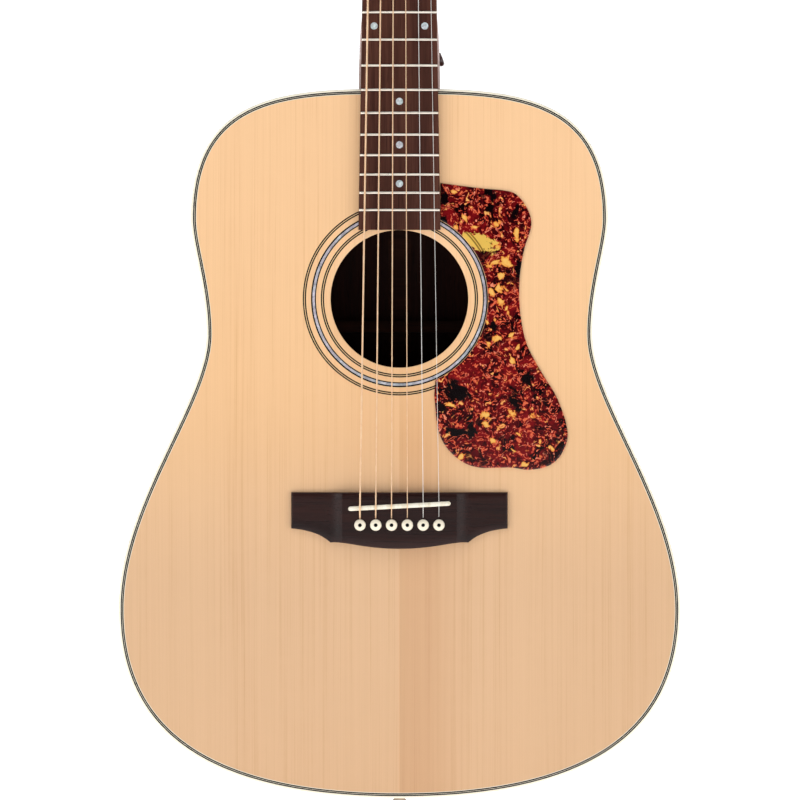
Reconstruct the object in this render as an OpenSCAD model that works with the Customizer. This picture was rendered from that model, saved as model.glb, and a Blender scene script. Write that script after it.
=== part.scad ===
// Dreadnought steel-string acoustic guitar, built piece by piece.
// Frame: +Z runs up the neck, -Y is the front (soundboard), +X is the treble side.
// Origin: the nut's fret-side face on the centre line, in the plane of the soundboard's outer face.

/* [Body] */
// Length of the body from the neck joint to the tail
body_len = 500; // [490:1:508]
// Width of the upper bout
upper_bout_w = 294; // [286:1:300]
// Width of the waist
waist_w = 272; // [266:1:278]
// Width of the lower bout
lower_bout_w = 396; // [388:1:402]
// Depth of the body at the neck joint
depth_neck = 98; // [94:1:104]
// Depth of the body at the tail
depth_tail = 122; // [116:1:126]
// Radius of the arched back
back_radius = 4500; // [3500:100:6000]
// Thickness of the soundboard
top_t = 2.8; // [2.6:0.1:3.2]
// Thickness of the back
back_t = 2.6; // [2.4:0.1:3.0]
// Thickness of the sides
side_t = 2.2; // [2.0:0.1:2.6]

/* [Trim] */
// Thickness of the ivory-coloured binding
binding_t = 1.5; // [1.2:0.1:1.6]
// Height of the binding on the sides
binding_h = 6; // [5:0.5:7]
// Width of the black and white lines inside the binding
purfling_w = 2.4; // [1.8:0.1:2.6]

/* [Soundhole] */
// Distance from the nut to the soundhole centre
hole_z = 506; // [504:1:508]
// Radius of the soundhole
hole_r = 48.5; // [46:0.5:50]

/* [Scale and fingerboard] */
// Scale length from nut to twelfth fret, doubled
scale_len = 647.7; // [645:0.1:650]
// Number of frets
fret_count = 20; // [18:1:20]
// Width of the fingerboard at the nut
nut_w = 43; // [42:0.5:45]
// Thickness of the fingerboard on its centre line
board_t = 6.35; // [6:0.05:7]
// Radius of the fingerboard's arched face
board_radius = 406.4; // [350:0.1:500]
// Height of a fret above the board
fret_h = 1.1; // [0.9:0.1:1.2]

/* [Bridge] */
// Thickness of the bridge in the middle
bridge_t = 7.6; // [7.2:0.1:8]
// Distance from the nut to the row of bridge pins
pin_z = 665.2; // [664:0.1:667]
// Distance between neighbouring strings at the bridge
string_gap_bridge = 11.1; // [10.8:0.1:11.3]
// Distance between neighbouring strings at the nut
string_gap_nut = 7; // [6.8:0.1:7.2]

/* [Headstock] */
// Backward tilt of the headstock in degrees
head_tilt = 14; // [12:0.5:15]
// Thickness of the headstock without its veneer
head_t = 13.5; // [13:0.5:14.5]
// Thickness of the headstock veneer
veneer_t = 1.6; // [1.2:0.1:2]

/* [Tuning machines] */
// Gear module of the worm and cog
gear_m = 0.8; // [0.8:0.01:0.82]
// Radius of the string post
post_r = 3.1; // [3:0.05:3.15]
// Radial clearance of a shaft in its bearing
fit = 0.05; // [0.03:0.01:0.08]

/* [Hidden] */

spruce = [0.95, 0.80, 0.62];
mahogany = [0.42, 0.20, 0.12];
rosewood = [0.24, 0.15, 0.12];
ivory = [0.95, 0.92, 0.84];
pearl = [0.82, 0.85, 0.86];
inlay_black = [0.06, 0.06, 0.06];
tortoise = [0.45, 0.08, 0.05];
steel = [0.80, 0.80, 0.80];
bronze = [0.75, 0.50, 0.25];

body_top = -358;          // z of the body's end at the neck joint
body_end = body_top - body_len;
N = 14;                   // outline points in each of the four curves of a half

function bez(a, b, c, d, t) = pow(1-t,3)*a + 3*pow(1-t,2)*t*b + 3*(1-t)*t*t*c + t*t*t*d;
function bez_d(a, b, c, d, t) = 3*pow(1-t,2)*(b-a) + 6*(1-t)*t*(c-b) + 3*t*t*(d-c);

// Half outline: four cubic curves between the neck joint, upper bout, waist, lower bout and tail.
ub = upper_bout_w/2; wa = waist_w/2; lb = lower_bout_w/2;
ub_d = 0.183*body_len; wa_d = 0.346*body_len; lb_d = 0.734*body_len;
CURVES = [
  [[0, 0], [0.51*ub, 0], [ub, 0], [ub, ub_d]],
  [[ub, ub_d], [ub, ub_d + 0.233*(wa_d-ub_d)], [wa, wa_d - 0.41*(wa_d-ub_d)], [wa, wa_d]],
  [[wa, wa_d], [wa, wa_d + 0.245*(lb_d-wa_d)], [lb, lb_d - 0.39*(lb_d-wa_d)], [lb, lb_d]],
  [[lb, lb_d], [lb, lb_d + 0.607*(body_len-lb_d)], [0.727*lb, body_len], [0, body_len]]];
function curve_pt(k, t, o) =
  let (c = CURVES[k], p = bez(c[0], c[1], c[2], c[3], t), v = bez_d(c[0], c[1], c[2], c[3], t),
       n = [v[1], -v[0]]/norm(v))
  [p[0] + o*n[0], body_top - p[1] - o*n[1]];
// Treble half of the outline moved outward by o, from the neck end to the tail.
function half(o) = [for (k = [0:3], i = [0:(k == 3 ? N : N-1)]) curve_pt(k, i/N, o)];
function flip(p) = [for (i = [len(p)-1:-1:0]) [-p[i][0], p[i][1]]];
function ring_pts(o) = let (h = half(o), f = flip(h))
  concat([for (i = [0:len(h)-1]) h[i]], [for (i = [1:len(f)-2]) f[i]]);

// Plane shapes are drawn as x across and z up, then extruded towards +Y.
module slab(y0, y1) translate([0, y1, 0]) rotate([90, 0, 0]) linear_extrude(y1 - y0) children();
module plan(o) polygon(ring_pts(o));
module ring(o1, o2) difference() { plan(o1); plan(o2); }

// Everything in front of the back's outer surface moved inward by d.
taper = atan((depth_tail - depth_neck)/body_len);
module under_back(d)
  translate([0, depth_tail, body_end]) rotate([taper, 0, 0])
    translate([0, -back_radius, -60]) cylinder(h = body_len + 120, r = back_radius - d, $fn = 720);
module between_back(d1, d2) difference() { under_back(d1); under_back(d2); }

module neck_pocket() // dovetail pocket, open at the front
  slab(-1, 80) polygon([[-11, body_top+5], [-11, body_top-2], [-15, body_top-21], [15, body_top-21], [11, body_top-2], [11, body_top+5]]);

module rings_2d(list) for (r = list) difference() {
  circle(r[1], $fn = 180); circle(r[0], $fn = 180); }
module at_hole() translate([0, -hole_z]) children();

module soundboard() color(spruce) difference() {
  slab(0, top_t) difference() { plan(-binding_t); at_hole() circle(hole_r, $fn = 180); }
  slab(-1, 1.4) ring(2, -binding_t - purfling_w);
  slab(-1, 1.2) at_hole() rings_2d([[53.1, 55.4], [58.7, 62.4], [65.8, 68.1]]);
  neck_pocket();
  for (i = [1:6]) pin_hole(i);
}
module top_purfling() color(inlay_black) difference() {
  slab(0, 1.4) ring(-binding_t, -binding_t - purfling_w);
  neck_pocket();
}
module rosette_rings() color(inlay_black)
  slab(0, 1.2) at_hole() rings_2d([[53.1, 55.4], [58.7, 59.6], [61.3, 62.4], [65.8, 68.1]]);
module rosette_pearl() color(pearl) slab(0, 1.2) at_hole() rings_2d([[59.6, 61.3]]);

module top_binding() color(ivory) difference() {
  slab(0, binding_h) ring(0, -binding_t);
  neck_pocket();
}
module back_binding() color(ivory) intersection() {
  slab(60, 140) ring(0, -binding_t);
  between_back(0, binding_h);
}
module back() color(mahogany) intersection() {
  slab(60, 140) plan(-binding_t);
  between_back(0, back_t);
}
module side(s) color(mahogany) difference() {
  intersection() {
    slab(top_t, 140) polygon(s > 0 ? concat(half(0), [for (i = [4*N:-1:0]) half(-side_t)[i]])
                               : concat(flip(half(0)), [for (i = [0:4*N]) flip(half(-side_t))[4*N-i]]));
    under_back(back_t);
  }
  slab(-1, binding_h) ring(3, -binding_t);
  intersection() { slab(60, 140) ring(3, -binding_t); between_back(back_t - 1, binding_h); }
  neck_pocket();
  graft_shape(0);
  pin_bore();
}
module side_treble() side(1);
module side_bass() side(-1);

// Kerfed linings: strips with a saw cut in every stretch of the outline.
function kerfed(p, q, m) = [for (i = [0:len(p)-2]) each [p[i], p[i]+0.42*(p[i+1]-p[i]), q[i]+0.42*(q[i+1]-q[i]),
                          q[i]+0.58*(q[i+1]-q[i]), p[i]+0.58*(p[i+1]-p[i])]];
module block_gaps() {
  translate([-block_hw, -5, body_top - 45]) cube([2*block_hw, 150, 60]);
  translate([-tail_hw, -5, body_end - 5]) cube([2*tail_hw, 150, 35]);
}
block_hw = 38; tail_hw = 32;
module half_lining_2d() {
  o = half(-side_t);
  k = concat(kerfed(half(-8), half(-3.6)), [half(-8)[4*N]]);
  polygon(concat(o, [for (i = [len(k)-1:-1:0]) k[i]]));
}
module top_lining() color(mahogany) {
  for (s = [0, 1]) mirror([s, 0, 0]) difference() {
    slab(top_t, top_t + 14) half_lining_2d();
    block_gaps();
  }
}
module back_lining() color(mahogany) {
  for (s = [0, 1]) mirror([s, 0, 0]) intersection() {
    difference() { slab(60, 140) half_lining_2d(); block_gaps(); }
    between_back(back_t, back_t + 14);
  }
}
module neck_block() color(mahogany) difference() {
  intersection() {
    slab(top_t, 140) plan(-side_t);
    translate([-block_hw, 0, body_top - 42]) cube([2*block_hw, 140, 60]);
    under_back(back_t);
  }
  neck_pocket();
  translate([0, rod_y, body_top - 60]) cylinder(h = 60, r = 4.3, $fn = 48);
}
module tail_block() color(mahogany) difference() {
  intersection() {
    slab(top_t, 140) plan(-side_t);
    translate([-tail_hw, 0, body_end - 5]) cube([2*tail_hw, 140, 30]);
    under_back(back_t);
  }
  pin_bore();
}

// End graft: a wedge let into the sides at the tail, with the end pin through it.
pin_y = 62;
module graft_shape(d) intersection() {
  slab(binding_h, 140) difference() { translate([-20, body_end - 5]) square([40, 20]); plan(-1.2); }
  translate([0, 0, body_end - 10]) linear_extrude(40) polygon([[-6.5, 0], [6.5, 0], [9.5, 135], [-9.5, 135]]);
  union() { under_back(binding_h); }
}
module end_graft() color(rosewood) difference() {
  intersection() { graft_shape(0); slab(0, 140) plan(0); }
  pin_bore();
}
module pin_bore() translate([0, pin_y, body_end - 3]) cylinder(h = 40, r = 4.05, $fn = 64);
module end_pin() color(ivory) translate([0, pin_y, body_end]) rotate([180, 0, 0])
  rotate_extrude($fn = 96) polygon([[0, -24], [3.3, -24], [4, -20], [4, 0], [5.5, 0], [5.2, 1.2], [3.9, 2.4], [3.7, 4.5],
    [4.2, 6.2], [6, 7.4], [6, 9.4], [5.2, 10.6], [3.4, 11.4], [0, 11.7]]);

// Strap button on the treble side of the heel.
btn_pos = [19.2, 30, -338.5]; btn_tilt = 20;
module at_btn() translate(btn_pos) rotate([0, 90 - btn_tilt, 0]) children();
module strap_button() color(rosewood) at_btn() difference() {
  rotate_extrude($fn = 96) polygon([[0, -1.5], [5, -1.5], [5, 1.2], [3.4, 2.8], [3, 5.5], [3.4, 8], [5, 9.4], [5, 11.4], [4.2, 12.2], [0, 12.6]]);
  translate([0, 0, -3]) cylinder(h = 20, r = 1.75, $fn = 32);
  translate([0, 0, 9.6]) cylinder(h = 6, r1 = 1.75, r2 = 5.35, $fn = 32);
}
module strap_button_screw() color(steel) at_btn() difference() {
  rotate_extrude($fn = 48) polygon([[0, -16], [0.6, -15], [1.5, -12], [1.5, 9.5], [3.05, 11.9], [3.05, 12.1], [0, 12.3]]);
  for (a = [0, 90]) rotate(a) translate([-2, -0.4, 11]) cube([4, 0.8, 3]);
}

// Braces: strips with tapered ends, from (x1,z1) to (x2,z2), standing h deep below the soundboard.
module strip(x1, z1, x2, z2, w, h, tip) {
  L = norm([x2-x1, z2-z1]); a = atan2(z2-z1, x2-x1);
  translate([x1, 0, z1]) rotate([0, -a, 0]) translate([0, 0, -w/2]) linear_extrude(w)
    polygon([[0, top_t], [L, top_t], [L, top_t+tip], [L-L/4, top_t+h], [L/4, top_t+h], [0, top_t+tip]]);
}
module room() slab(0, 140) plan(-8.3);
x_mid = [0, -hole_z - 77];
module x_leg(s) translate([0, 0, x_mid[1]]) rotate([0, -s*41, 0]) translate([0, 0, -4])
  linear_extrude(8) polygon([[-255*s, top_t], [185*s, top_t], [185*s, top_t+5], [130*s, top_t+7], [55*s, top_t+14], [-55*s, top_t+14], [-190*s, top_t+6], [-255*s, top_t+3]]);
module x_braces() color(spruce) intersection() {
  union() { x_leg(1); x_leg(-1); }
  room();
}
// Two tone bars below the bridge, and two short finger braces on each side of the X
module tone_bars() color(spruce) intersection() {
  union() {
    strip(-132, -786, 96, -716, 7, 11, 3);
    strip(-70, -824, 74, -780, 7, 10, 3);
    for (s = [-1, 1]) { strip(s*86, -632, s*150, -620, 6, 7, 2.5); strip(s*125, -668, s*168, -660, 6, 7, 2.5); }
  }
  room();
}
module transverse_brace() color(spruce) intersection() {
  strip(-150, body_top - 82, 150, body_top - 82, 12, 13, 5);
  room();
}
module bridge_plate() color([0.85, 0.72, 0.52]) difference() {
  slab(top_t, top_t + 2.6) polygon([[-54, -642], [54, -642], [86, -694], [-86, -694]]);
  for (i = [1:6]) pin_hole(i);
}
// Distance of each back brace below the neck joint, with its width
BACK_BRACES = [[75, 8], [166, 8], [276, 18], [395, 18]];
module back_brace_pair(list, h) difference() {
  intersection() {
    for (b = list) translate([-230, 40, body_top - b[0] - b[1]/2]) cube([460, 100, b[1]]);
    slab(30, 150) plan(-8.3);
    under_back(back_t);
  }
  under_back(back_t + h);
}
module back_braces() color(spruce) {
  back_brace_pair([BACK_BRACES[0], BACK_BRACES[1]], 15);
  back_brace_pair([BACK_BRACES[2], BACK_BRACES[3]], 10);
}
module back_strip() color(spruce) for (i = [0:4]) {
  z1 = i == 0 ? body_top - 42 : body_top - BACK_BRACES[i-1][0] - BACK_BRACES[i-1][1]/2;
  z0 = i == 4 ? body_end + 25 : body_top - BACK_BRACES[i][0] + BACK_BRACES[i][1]/2;
  intersection() {
    translate([-8, 60, z0]) cube([16, 80, z1 - z0]);
    between_back(back_t, back_t + 2.2);
  }
}

// Strings: 1 is the thin treble string, 6 the thick bass string.
STRING_R = [0.16, 0.21, 0.32, 0.42, 0.54, 0.67];
function x_nut(i) = (3.5 - i)*string_gap_nut;
function x_pin(i) = (3.5 - i)*string_gap_bridge;
function board_y(x) = -(board_t - x*x/(2*board_radius));
saddle_z = -651.9; saddle_slope = 0.0527;
function z_saddle(x) = saddle_z + saddle_slope*x;
function y_saddle(x) = -(board_t + fret_h + 3.5 - x*x/(2*board_radius) - 0.018*x);
function y_nut(i) = board_y(x_nut(i)) - fret_h - 0.45 - STRING_R[i-1];

// Headstock frame: its face plane starts behind the nut and leans back.
nut_l = 5;
module on_head() translate([0, 0, nut_l]) rotate([-head_tilt, 0, 0]) children();
function head_pt(p) = [p[0], p[1]*cos(head_tilt) + p[2]*sin(head_tilt), nut_l - p[1]*sin(head_tilt) + p[2]*cos(head_tilt)];
head_len = 192; head_w1 = 62; head_w2 = 75;
function head_hw(z) = head_w1/2 + (head_w2 - head_w1)/2*(z - 25)/152;
ROWS = [45, 87, 129];
function row(i) = i > 3 ? 6 - i : i - 1;
function sgn(i) = i > 3 ? -1 : 1;
function post_x(i) = head_hw(ROWS[row(i)]) - 12;
string_y = -veneer_t - 6.6;   // height of the strings at the posts
// Where a string leaves the nut, in the headstock frame
function nut_on_head(i) = let (y = y_nut(i), z = -nut_l)
  [x_nut(i), y*cos(head_tilt) - z*sin(head_tilt), y*sin(head_tilt) + z*cos(head_tilt)];
// Where it touches its post, on the inner side
function touch(i) = let (n = nut_on_head(i), c = [sgn(i)*post_x(i), ROWS[row(i)]], R = post_r + 0.35 + STRING_R[i-1],
  v = [n[0] - c[0], n[2] - c[1]], a = acos(R/norm(v)), b = atan2(v[1], v[0]) + sgn(i)*-1*a)
  [c[0] + R*cos(b), string_y, c[1] + R*sin(b)];

function string_path(i) = let (r = STRING_R[i-1], x = x_pin(i))
  [[x, top_t + 2.2, -pin_z + 3.15], [x, -bridge_t + 3.2, -pin_z + 3.15], [x, -bridge_t + 1.2, -pin_z + 4.4],
   [x, y_saddle(x) - r, z_saddle(x)], [x_nut(i), y_nut(i), 0], head_pt(touch(i))];
function unit(v) = v/norm(v);
// A round tube along a path, its rings cut on the bisecting planes
function tube_ring(p, k, r, m) = let (
    a = k == 0 ? unit(p[1]-p[0]) : unit(p[k]-p[k-1]),
    b = k == len(p)-1 ? a : unit(p[k+1]-p[k]), t = unit(a+b),
    u = unit([1,0,0] - t[0]*t), v = cross(t, u))
  [for (j = [0:m-1]) p[k] + r*(cos(360*j/m)*u + sin(360*j/m)/max(0.5, t*b)*v)];
module tube(p, r, m = 10) polyhedron(
  points = [for (k = [0:len(p)-1]) each tube_ring(p, k, r, m)],
  faces = concat([[for (j = [m-1:-1:0]) j]], [[for (j = [0:m-1]) (len(p)-1)*m + j]],
    [for (k = [0:len(p)-2], j = [0:m-1]) each [[k*m+j, k*m+(j+1)%m, (k+1)*m+j], [k*m+(j+1)%m, (k+1)*m+(j+1)%m, (k+1)*m+j]]]));
module guitar_string(i) color(i > 2 ? bronze : steel) tube(string_path(i), STRING_R[i-1]);
module string_1() guitar_string(1);
module string_2() guitar_string(2);
module string_3() guitar_string(3);
module string_4() guitar_string(4);
module string_5() guitar_string(5);
module string_6() guitar_string(6);

// Bridge: a plate with a curved lower edge, thin wings and a raised middle.
module bridge_plan() {
  wing = [for (t = [0:0.2:1]) bez([76.2, -667.8], [66, -668.6], [56, -671], [48.5, -677.7], t)];
  belly = [for (t = [0.1:0.1:1]) bez([48.5, -677.7], [38, -676.4], [26, -682], [0, -682], t)];
  right = concat([[76.2, -642.3]], wing, belly);
  polygon(concat(right, [for (i = [len(right)-2:-1:0]) [-right[i][0], right[i][1]]]));
}
module bridge() color(rosewood) difference() {
  intersection() {
    slab(-bridge_t, 0) bridge_plan();
    translate([0, 0, -700]) linear_extrude(100) polygon([[-77, 0], [77, 0], [77, -3.2], [56, -3.4], [50, -4], [45, -5.6], [41, -bridge_t], [-41, -bridge_t], [-45, -5.6], [-50, -4], [-56, -3.4], [-77, -3.2]]);
  }
  saddle_shape(-bridge_t - 1, -bridge_t + 5);
  for (i = [1:6]) {
    pin_hole(i);
    r = STRING_R[i-1] + 0.22;
    hull() { for (z = [3.15, 9.6]) translate([x_pin(i), -bridge_t - 1, -pin_z + z]) rotate([-90, 0, 0]) cylinder(h = z < 4 ? 4.9 : 1.9, r = r, $fn = 16); }
  }
}
module saddle_shape(y0, y1) translate([0, 0, saddle_z]) rotate([0, -atan(saddle_slope), 0]) slab(y0, y1) {
  square([69, 3.2], center = true);
  for (s = [-1, 1]) translate([s*34.5, 0]) circle(1.6, $fn = 32);
}
module saddle() color(ivory) difference() {
  intersection() {
    saddle_shape(-20, -bridge_t + 5);
    translate([0, 0, -670]) linear_extrude(40)
      polygon(concat([[38, 0], [-38, 0]], [for (x = [-38:2:38]) [x, y_saddle(x)]]));
  }
  // each string wears a small seat, level towards the neck and sloping down towards its pin
  for (i = [1:6]) translate([x_pin(i), y_saddle(x_pin(i)) + 0.04, z_saddle(x_pin(i))]) {
    w = STRING_R[i-1] + 0.06;
    translate([-w, -3, -0.3]) cube([2*w, 3, 4]);
    rotate([saddle_fall(i), 0, 0]) translate([-w, -3, -5]) cube([2*w, 3, 5.1]);
  }
}
function saddle_fall(i) = let (x = x_pin(i)) atan((-bridge_t + 1.2 - y_saddle(x) + STRING_R[i-1])/(z_saddle(x) + pin_z - 4.4));
module pin_hole(i) translate([x_pin(i), -12, -pin_z]) rotate([-90, 0, 0]) {
  cylinder(h = 30, r = 2.4, $fn = 32);
  translate([0, -3.15, 6]) cylinder(h = 24, r = STRING_R[i-1] + 0.16, $fn = 24);
}
module bridge_pins() color(ivory) for (i = [1:6]) translate([x_pin(i), -bridge_t, -pin_z]) rotate([90, 0, 0])
  difference() {
    rotate_extrude($fn = 64) polygon([[0, -22], [1.3, -22], [2, -20.5], [2.3, -1], [2.3, 0.3], [3.9, 0.3], [4.1, 1.1], [3.9, 2.1], [3.2, 3], [1.8, 3.5], [0, 3.6]]);
    translate([0, 0, 2.9]) cylinder(h = 2, r = 1.25, $fn = 32);
  }
module pin_dots() color(inlay_black) for (i = [1:6]) translate([x_pin(i), -bridge_t, -pin_z]) rotate([90, 0, 0])
  translate([0, 0, 2.9]) cylinder(h = 0.72, r = 1.25, $fn = 32);
module ball_ends() color("gold") for (i = [1:6]) translate([x_pin(i) - 1.8, top_t + 4.9, -pin_z + 4.75]) rotate([0, 90, 0])
  difference() { cylinder(h = 3.6, r = 2.2, $fn = 32); translate([0, 0, -1]) cylinder(h = 6, r = 0.8, $fn = 32); }

// Pickguard: a smooth closed curve through chosen points, its inner side following the rosette.
GUARD = [[28.9, -424.5], [55.5, -428], [72, -429.5], [80.5, -431.5], [87, -437.5], [91.5, -445.5], [93, -453], [91.5, -460.5], [88, -471], [85, -488.5], [84.5, -507],
  [86.5, -525], [91, -541], [101.5, -560], [109, -572], [114, -583], [117.5, -594], [118.5, -603.5], [116, -612], [111, -619.5], [103, -624.5], [91, -626.5], [79.5, -625], [68, -625], [57, -625],
  [47.5, -622.5], [38.5, -616.5], [31, -607.5], [27, -597], [25.5, -585], [24.5, -574]];
function cat(a, b, c, d, t) = 0.5*(2*b + (c-a)*t + (2*a-5*b+4*c-d)*t*t + (3*b-a-3*c+d)*t*t*t);
guard_r = 62.6;
module guard_2d() polygon(concat(
  [GUARD[0]],
  [for (i = [1:len(GUARD)-3], t = [0, 0.5]) cat(GUARD[i-1], GUARD[i], GUARD[i+1], GUARD[i+2], t)],
  [GUARD[len(GUARD)-2], GUARD[len(GUARD)-1]],
  [for (a = [-66:8:62]) [guard_r*cos(a), -hole_z + guard_r*sin(a)]],
  [[28.9, -hole_z + sqrt(guard_r*guard_r - 28.9*28.9)]]));
module pickguard() color(tortoise) slab(-1.3, 0) guard_2d();

// Neck, fingerboard and frets
function fret_z(n) = -scale_len*(1 - pow(2, -n/12));
board_end = -457.5;
function board_hw(z) = nut_w/2 - 0.0161*z;
module board_plan(z1, z0, o = 0) polygon([[-board_hw(z1)-o, z1], [board_hw(z1)+o, z1], [board_hw(z0)+o, z0], [-board_hw(z0)-o, z0]]);
module crown(r) translate([0, board_radius - board_t, -480]) cylinder(h = 500, r = r, $fn = 720);
DOTS = [[3, 0], [5, 0], [7, 0], [9, 0], [12, -17.8], [12, 17.8], [15, 0], [17, 0], [19, 0]];
module dot_bores(y0) for (d = DOTS) translate([d[1], y0, (fret_z(d[0]) + fret_z(d[0]-1))/2]) rotate([-90, 0, 0]) cylinder(h = 8 - y0 - 12.6, r = 2.5, $fn = 32);
module side_dot_bores(x1) for (d = [3, 5, 7, 9, 12, 15, 17, 19], k = d == 12 ? [-1, 1] : [0]) let (z = (fret_z(d) + fret_z(d-1))/2 + 4*k)
  translate([-board_hw(z) - x1, -3, z]) rotate([0, 90, 0]) cylinder(h = x1 + 1.6, r = 1, $fn = 24);
module fingerboard() color(rosewood) difference() {
  intersection() { slab(-8, 0) board_plan(0, board_end); crown(board_radius); }
  for (n = [1:fret_count]) translate([-35, -8, fret_z(n) - 0.3]) cube([70, 4.8, 0.6]);
  dot_bores(-8);
  side_dot_bores(2);
}
module fret_markers() color(pearl) intersection() { dot_bores(-8); crown(board_radius); }
module side_dots() color(ivory) intersection() { side_dot_bores(1); slab(-8, 0) board_plan(0, board_end); }
module frets() color(steel) for (n = [1:fret_count]) {
  h = asin((board_hw(fret_z(n)) - 0.3)/board_radius);
  translate([0, board_radius - board_t, fret_z(n)]) rotate(-90 - h) rotate_extrude(angle = 2*h, $fn = 1440)
    translate([board_radius, 0]) polygon([[-1.5, -0.25], [0, -0.25], [0, -1.2], [0.45*fret_h, -1.1], [0.85*fret_h, -0.65], [fret_h, 0],
      [0.85*fret_h, 0.65], [0.45*fret_h, 1.1], [0, 1.2], [0, 0.25], [-1.5, 0.25]]);
}
heel_y = depth_neck - 2;
rod_y = 7.4;
function shaft_d(z) = 14.5 - 0.0105*z;
function shaft_w(y, z) = y >= shaft_d(z) ? 0 : board_hw(z)*pow(1 - pow(y/shaft_d(z), 2.3), 1/2.3);
function heel_l(y) = 27 + 68*exp(-max(0, y-10)/12);
function heel_hw(y) = 11 + 16*pow(1 - max(0, y-10)/(heel_y-10), 1.3);
function heel_w(y, z) = let (q = (z - body_top)/heel_l(y)) q >= 1 ? 0 : heel_hw(min(y, heel_y))*pow(1 - pow(max(q, 0), 2.4), 1/2.4);
function neck_w(y, z) = max(0.4, shaft_w(y, z), heel_w(y, z));
// Levels of the heel's front curve, deepest first, and the stations that follow from them
LEVELS = [heel_y, 84, 72, 62, 54, 47, 41, 36, 32, 28.5, 25.5, 23, 21, 19.5];
STATIONS = concat([body_top, body_top + 10, body_top + 20], [for (y = LEVELS) body_top + heel_l(y) - 0.02],
  [for (z = [-295, -270, -220, -160, -100, -50, -15, nut_l]) z]);
DEPTHS = concat([heel_y, heel_y, heel_y], LEVELS, [for (z = [-295, -270, -220, -160, -100, -50, -15, nut_l]) shaft_d(z)]);
M = 12;
function neck_ring(k) = let (z = STATIONS[k], d = DEPTHS[k],
    h = [for (j = [0:M]) let (y = d*sin(90*j/M)) [neck_w(y, z), y, z]])
  concat(h, [for (j = [M:-1:0]) [-h[j][0], h[j][1], z]]);
module neck_shape() {
  m = 2*(M+1); n = len(STATIONS);
  polyhedron(points = [for (k = [0:n-1]) each neck_ring(k)],
    faces = concat([[for (j = [0:m-1]) j]], [[for (j = [m-1:-1:0]) (n-1)*m + j]],
      [for (k = [0:n-2], j = [0:m-1]) each [[k*m+j, (k+1)*m+j, k*m+(j+1)%m], [k*m+(j+1)%m, (k+1)*m+j, (k+1)*m+(j+1)%m]]]));
}
module head_plan() {
  r = concat([for (t = [0:0.2:1]) bez([board_hw(0), 0], [board_hw(0) + 0.3, 9], [head_hw(25) - 2.6, 16], [head_hw(25), 25], t)],
    [for (t = [0:0.2:1]) bez([head_hw(175), 175], [head_hw(175) + 0.7, 186], [head_hw(175) - 8, 189], [20, 190.5], t)], [[0, head_len]]);
  polygon(concat(r, [for (i = [len(r)-2:-1:0]) [-r[i][0], r[i][1]]]));
}
module post_holes() for (i = [1:6]) translate([sgn(i)*post_x(i), -5, ROWS[row(i)]]) rotate([-90, 0, 0]) cylinder(h = 30, r = 4.45, $fn = 48);
module screw_holes() for (i = [1:6], u = SCREWS) translate([sgn(i)*(post_x(i) + u[0]), 3, ROWS[row(i)] + u[1]]) rotate([-90, 0, 0]) cylinder(h = 20, r = 1, $fn = 24);
module neck() color(mahogany) difference() {
  union() {
    neck_shape();
    slab(0, 79.5) polygon([[-11, body_top+1], [-11, body_top-2], [-15, body_top-21], [15, body_top-21], [11, body_top-2], [11, body_top+1]]);
  }
  translate([-3.2, -1, body_top - 30]) cube([6.4, 11.4, -body_top + 18.2]);
  at_btn() { translate([0, 0, -1.5]) cylinder(h = 20, r = 5.05, $fn = 48); translate([0, 0, -18]) cylinder(h = 20, r = 1.55, $fn = 32); }
}
// Headstock: glued to the end of the shaft in the nut's front plane
module headstock() color(mahogany) difference() {
  on_head() slab(0, head_t) head_plan();
  translate([-30, -5, -20]) cube([60, 40, 20 + nut_l]);
  on_head() { post_holes(); screw_holes(); }
}
module heel_cap() color(ivory) slab(heel_y, heel_y + 2) heel_cap_2d();
module heel_cap_2d() polygon(concat([for (j = [0:16]) let (a = 180*j/16)
  [heel_hw(heel_y)*(cos(a) < 0 ? -1 : 1)*pow(abs(cos(a)), 2/2.4), body_top + heel_l(heel_y)*pow(abs(sin(a)), 2/2.4)]]));
module truss_rod() color(steel) {
  translate([0, rod_y, body_top - 34]) cylinder(h = 368.5, r = 2.4, $fn = 32);
  translate([-3, 1.8, -24]) cube([6, 8, 12]);
  translate([0, rod_y, body_top - 46]) difference() { cylinder(h = 11.9, r = 4, $fn = 48); translate([0, 0, -1]) cylinder(h = 9, r = 2.5, $fn = 6); }
}
module head_veneer() color(rosewood) on_head() difference() {
  slab(-veneer_t, 0) difference() { head_plan(); translate([-40, -1]) square([80, 1.45]); }
  post_holes();
}
module nut() color(ivory) difference() {
  intersection() {
    translate([-nut_w/2, 0, 0]) rotate([90, 0, 90]) linear_extrude(nut_w) polygon([[0, 0], [0, nut_l - 0.05], [-7.4, nut_l - 0.05], [-8.6, 2.6], [-9.2, 0]]);
    translate([0, board_radius - board_t, -5]) cylinder(h = 20, r = board_radius + fret_h + 1.1, $fn = 720);
  }
  for (i = [1:6]) nut_slot(i);
}
module nut_slot(i) {
  r = STRING_R[i-1]; p = head_pt(touch(i)) - [x_nut(i), y_nut(i), 0];
  translate([x_nut(i), y_nut(i), 0]) rotate([-atan(p[1]/p[2]), atan(p[0]/p[2]), 0]) translate([-r - 0.05, -8, -2]) cube([2*r + 0.1, 8 + r + 0.05, 12]);
}

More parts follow.
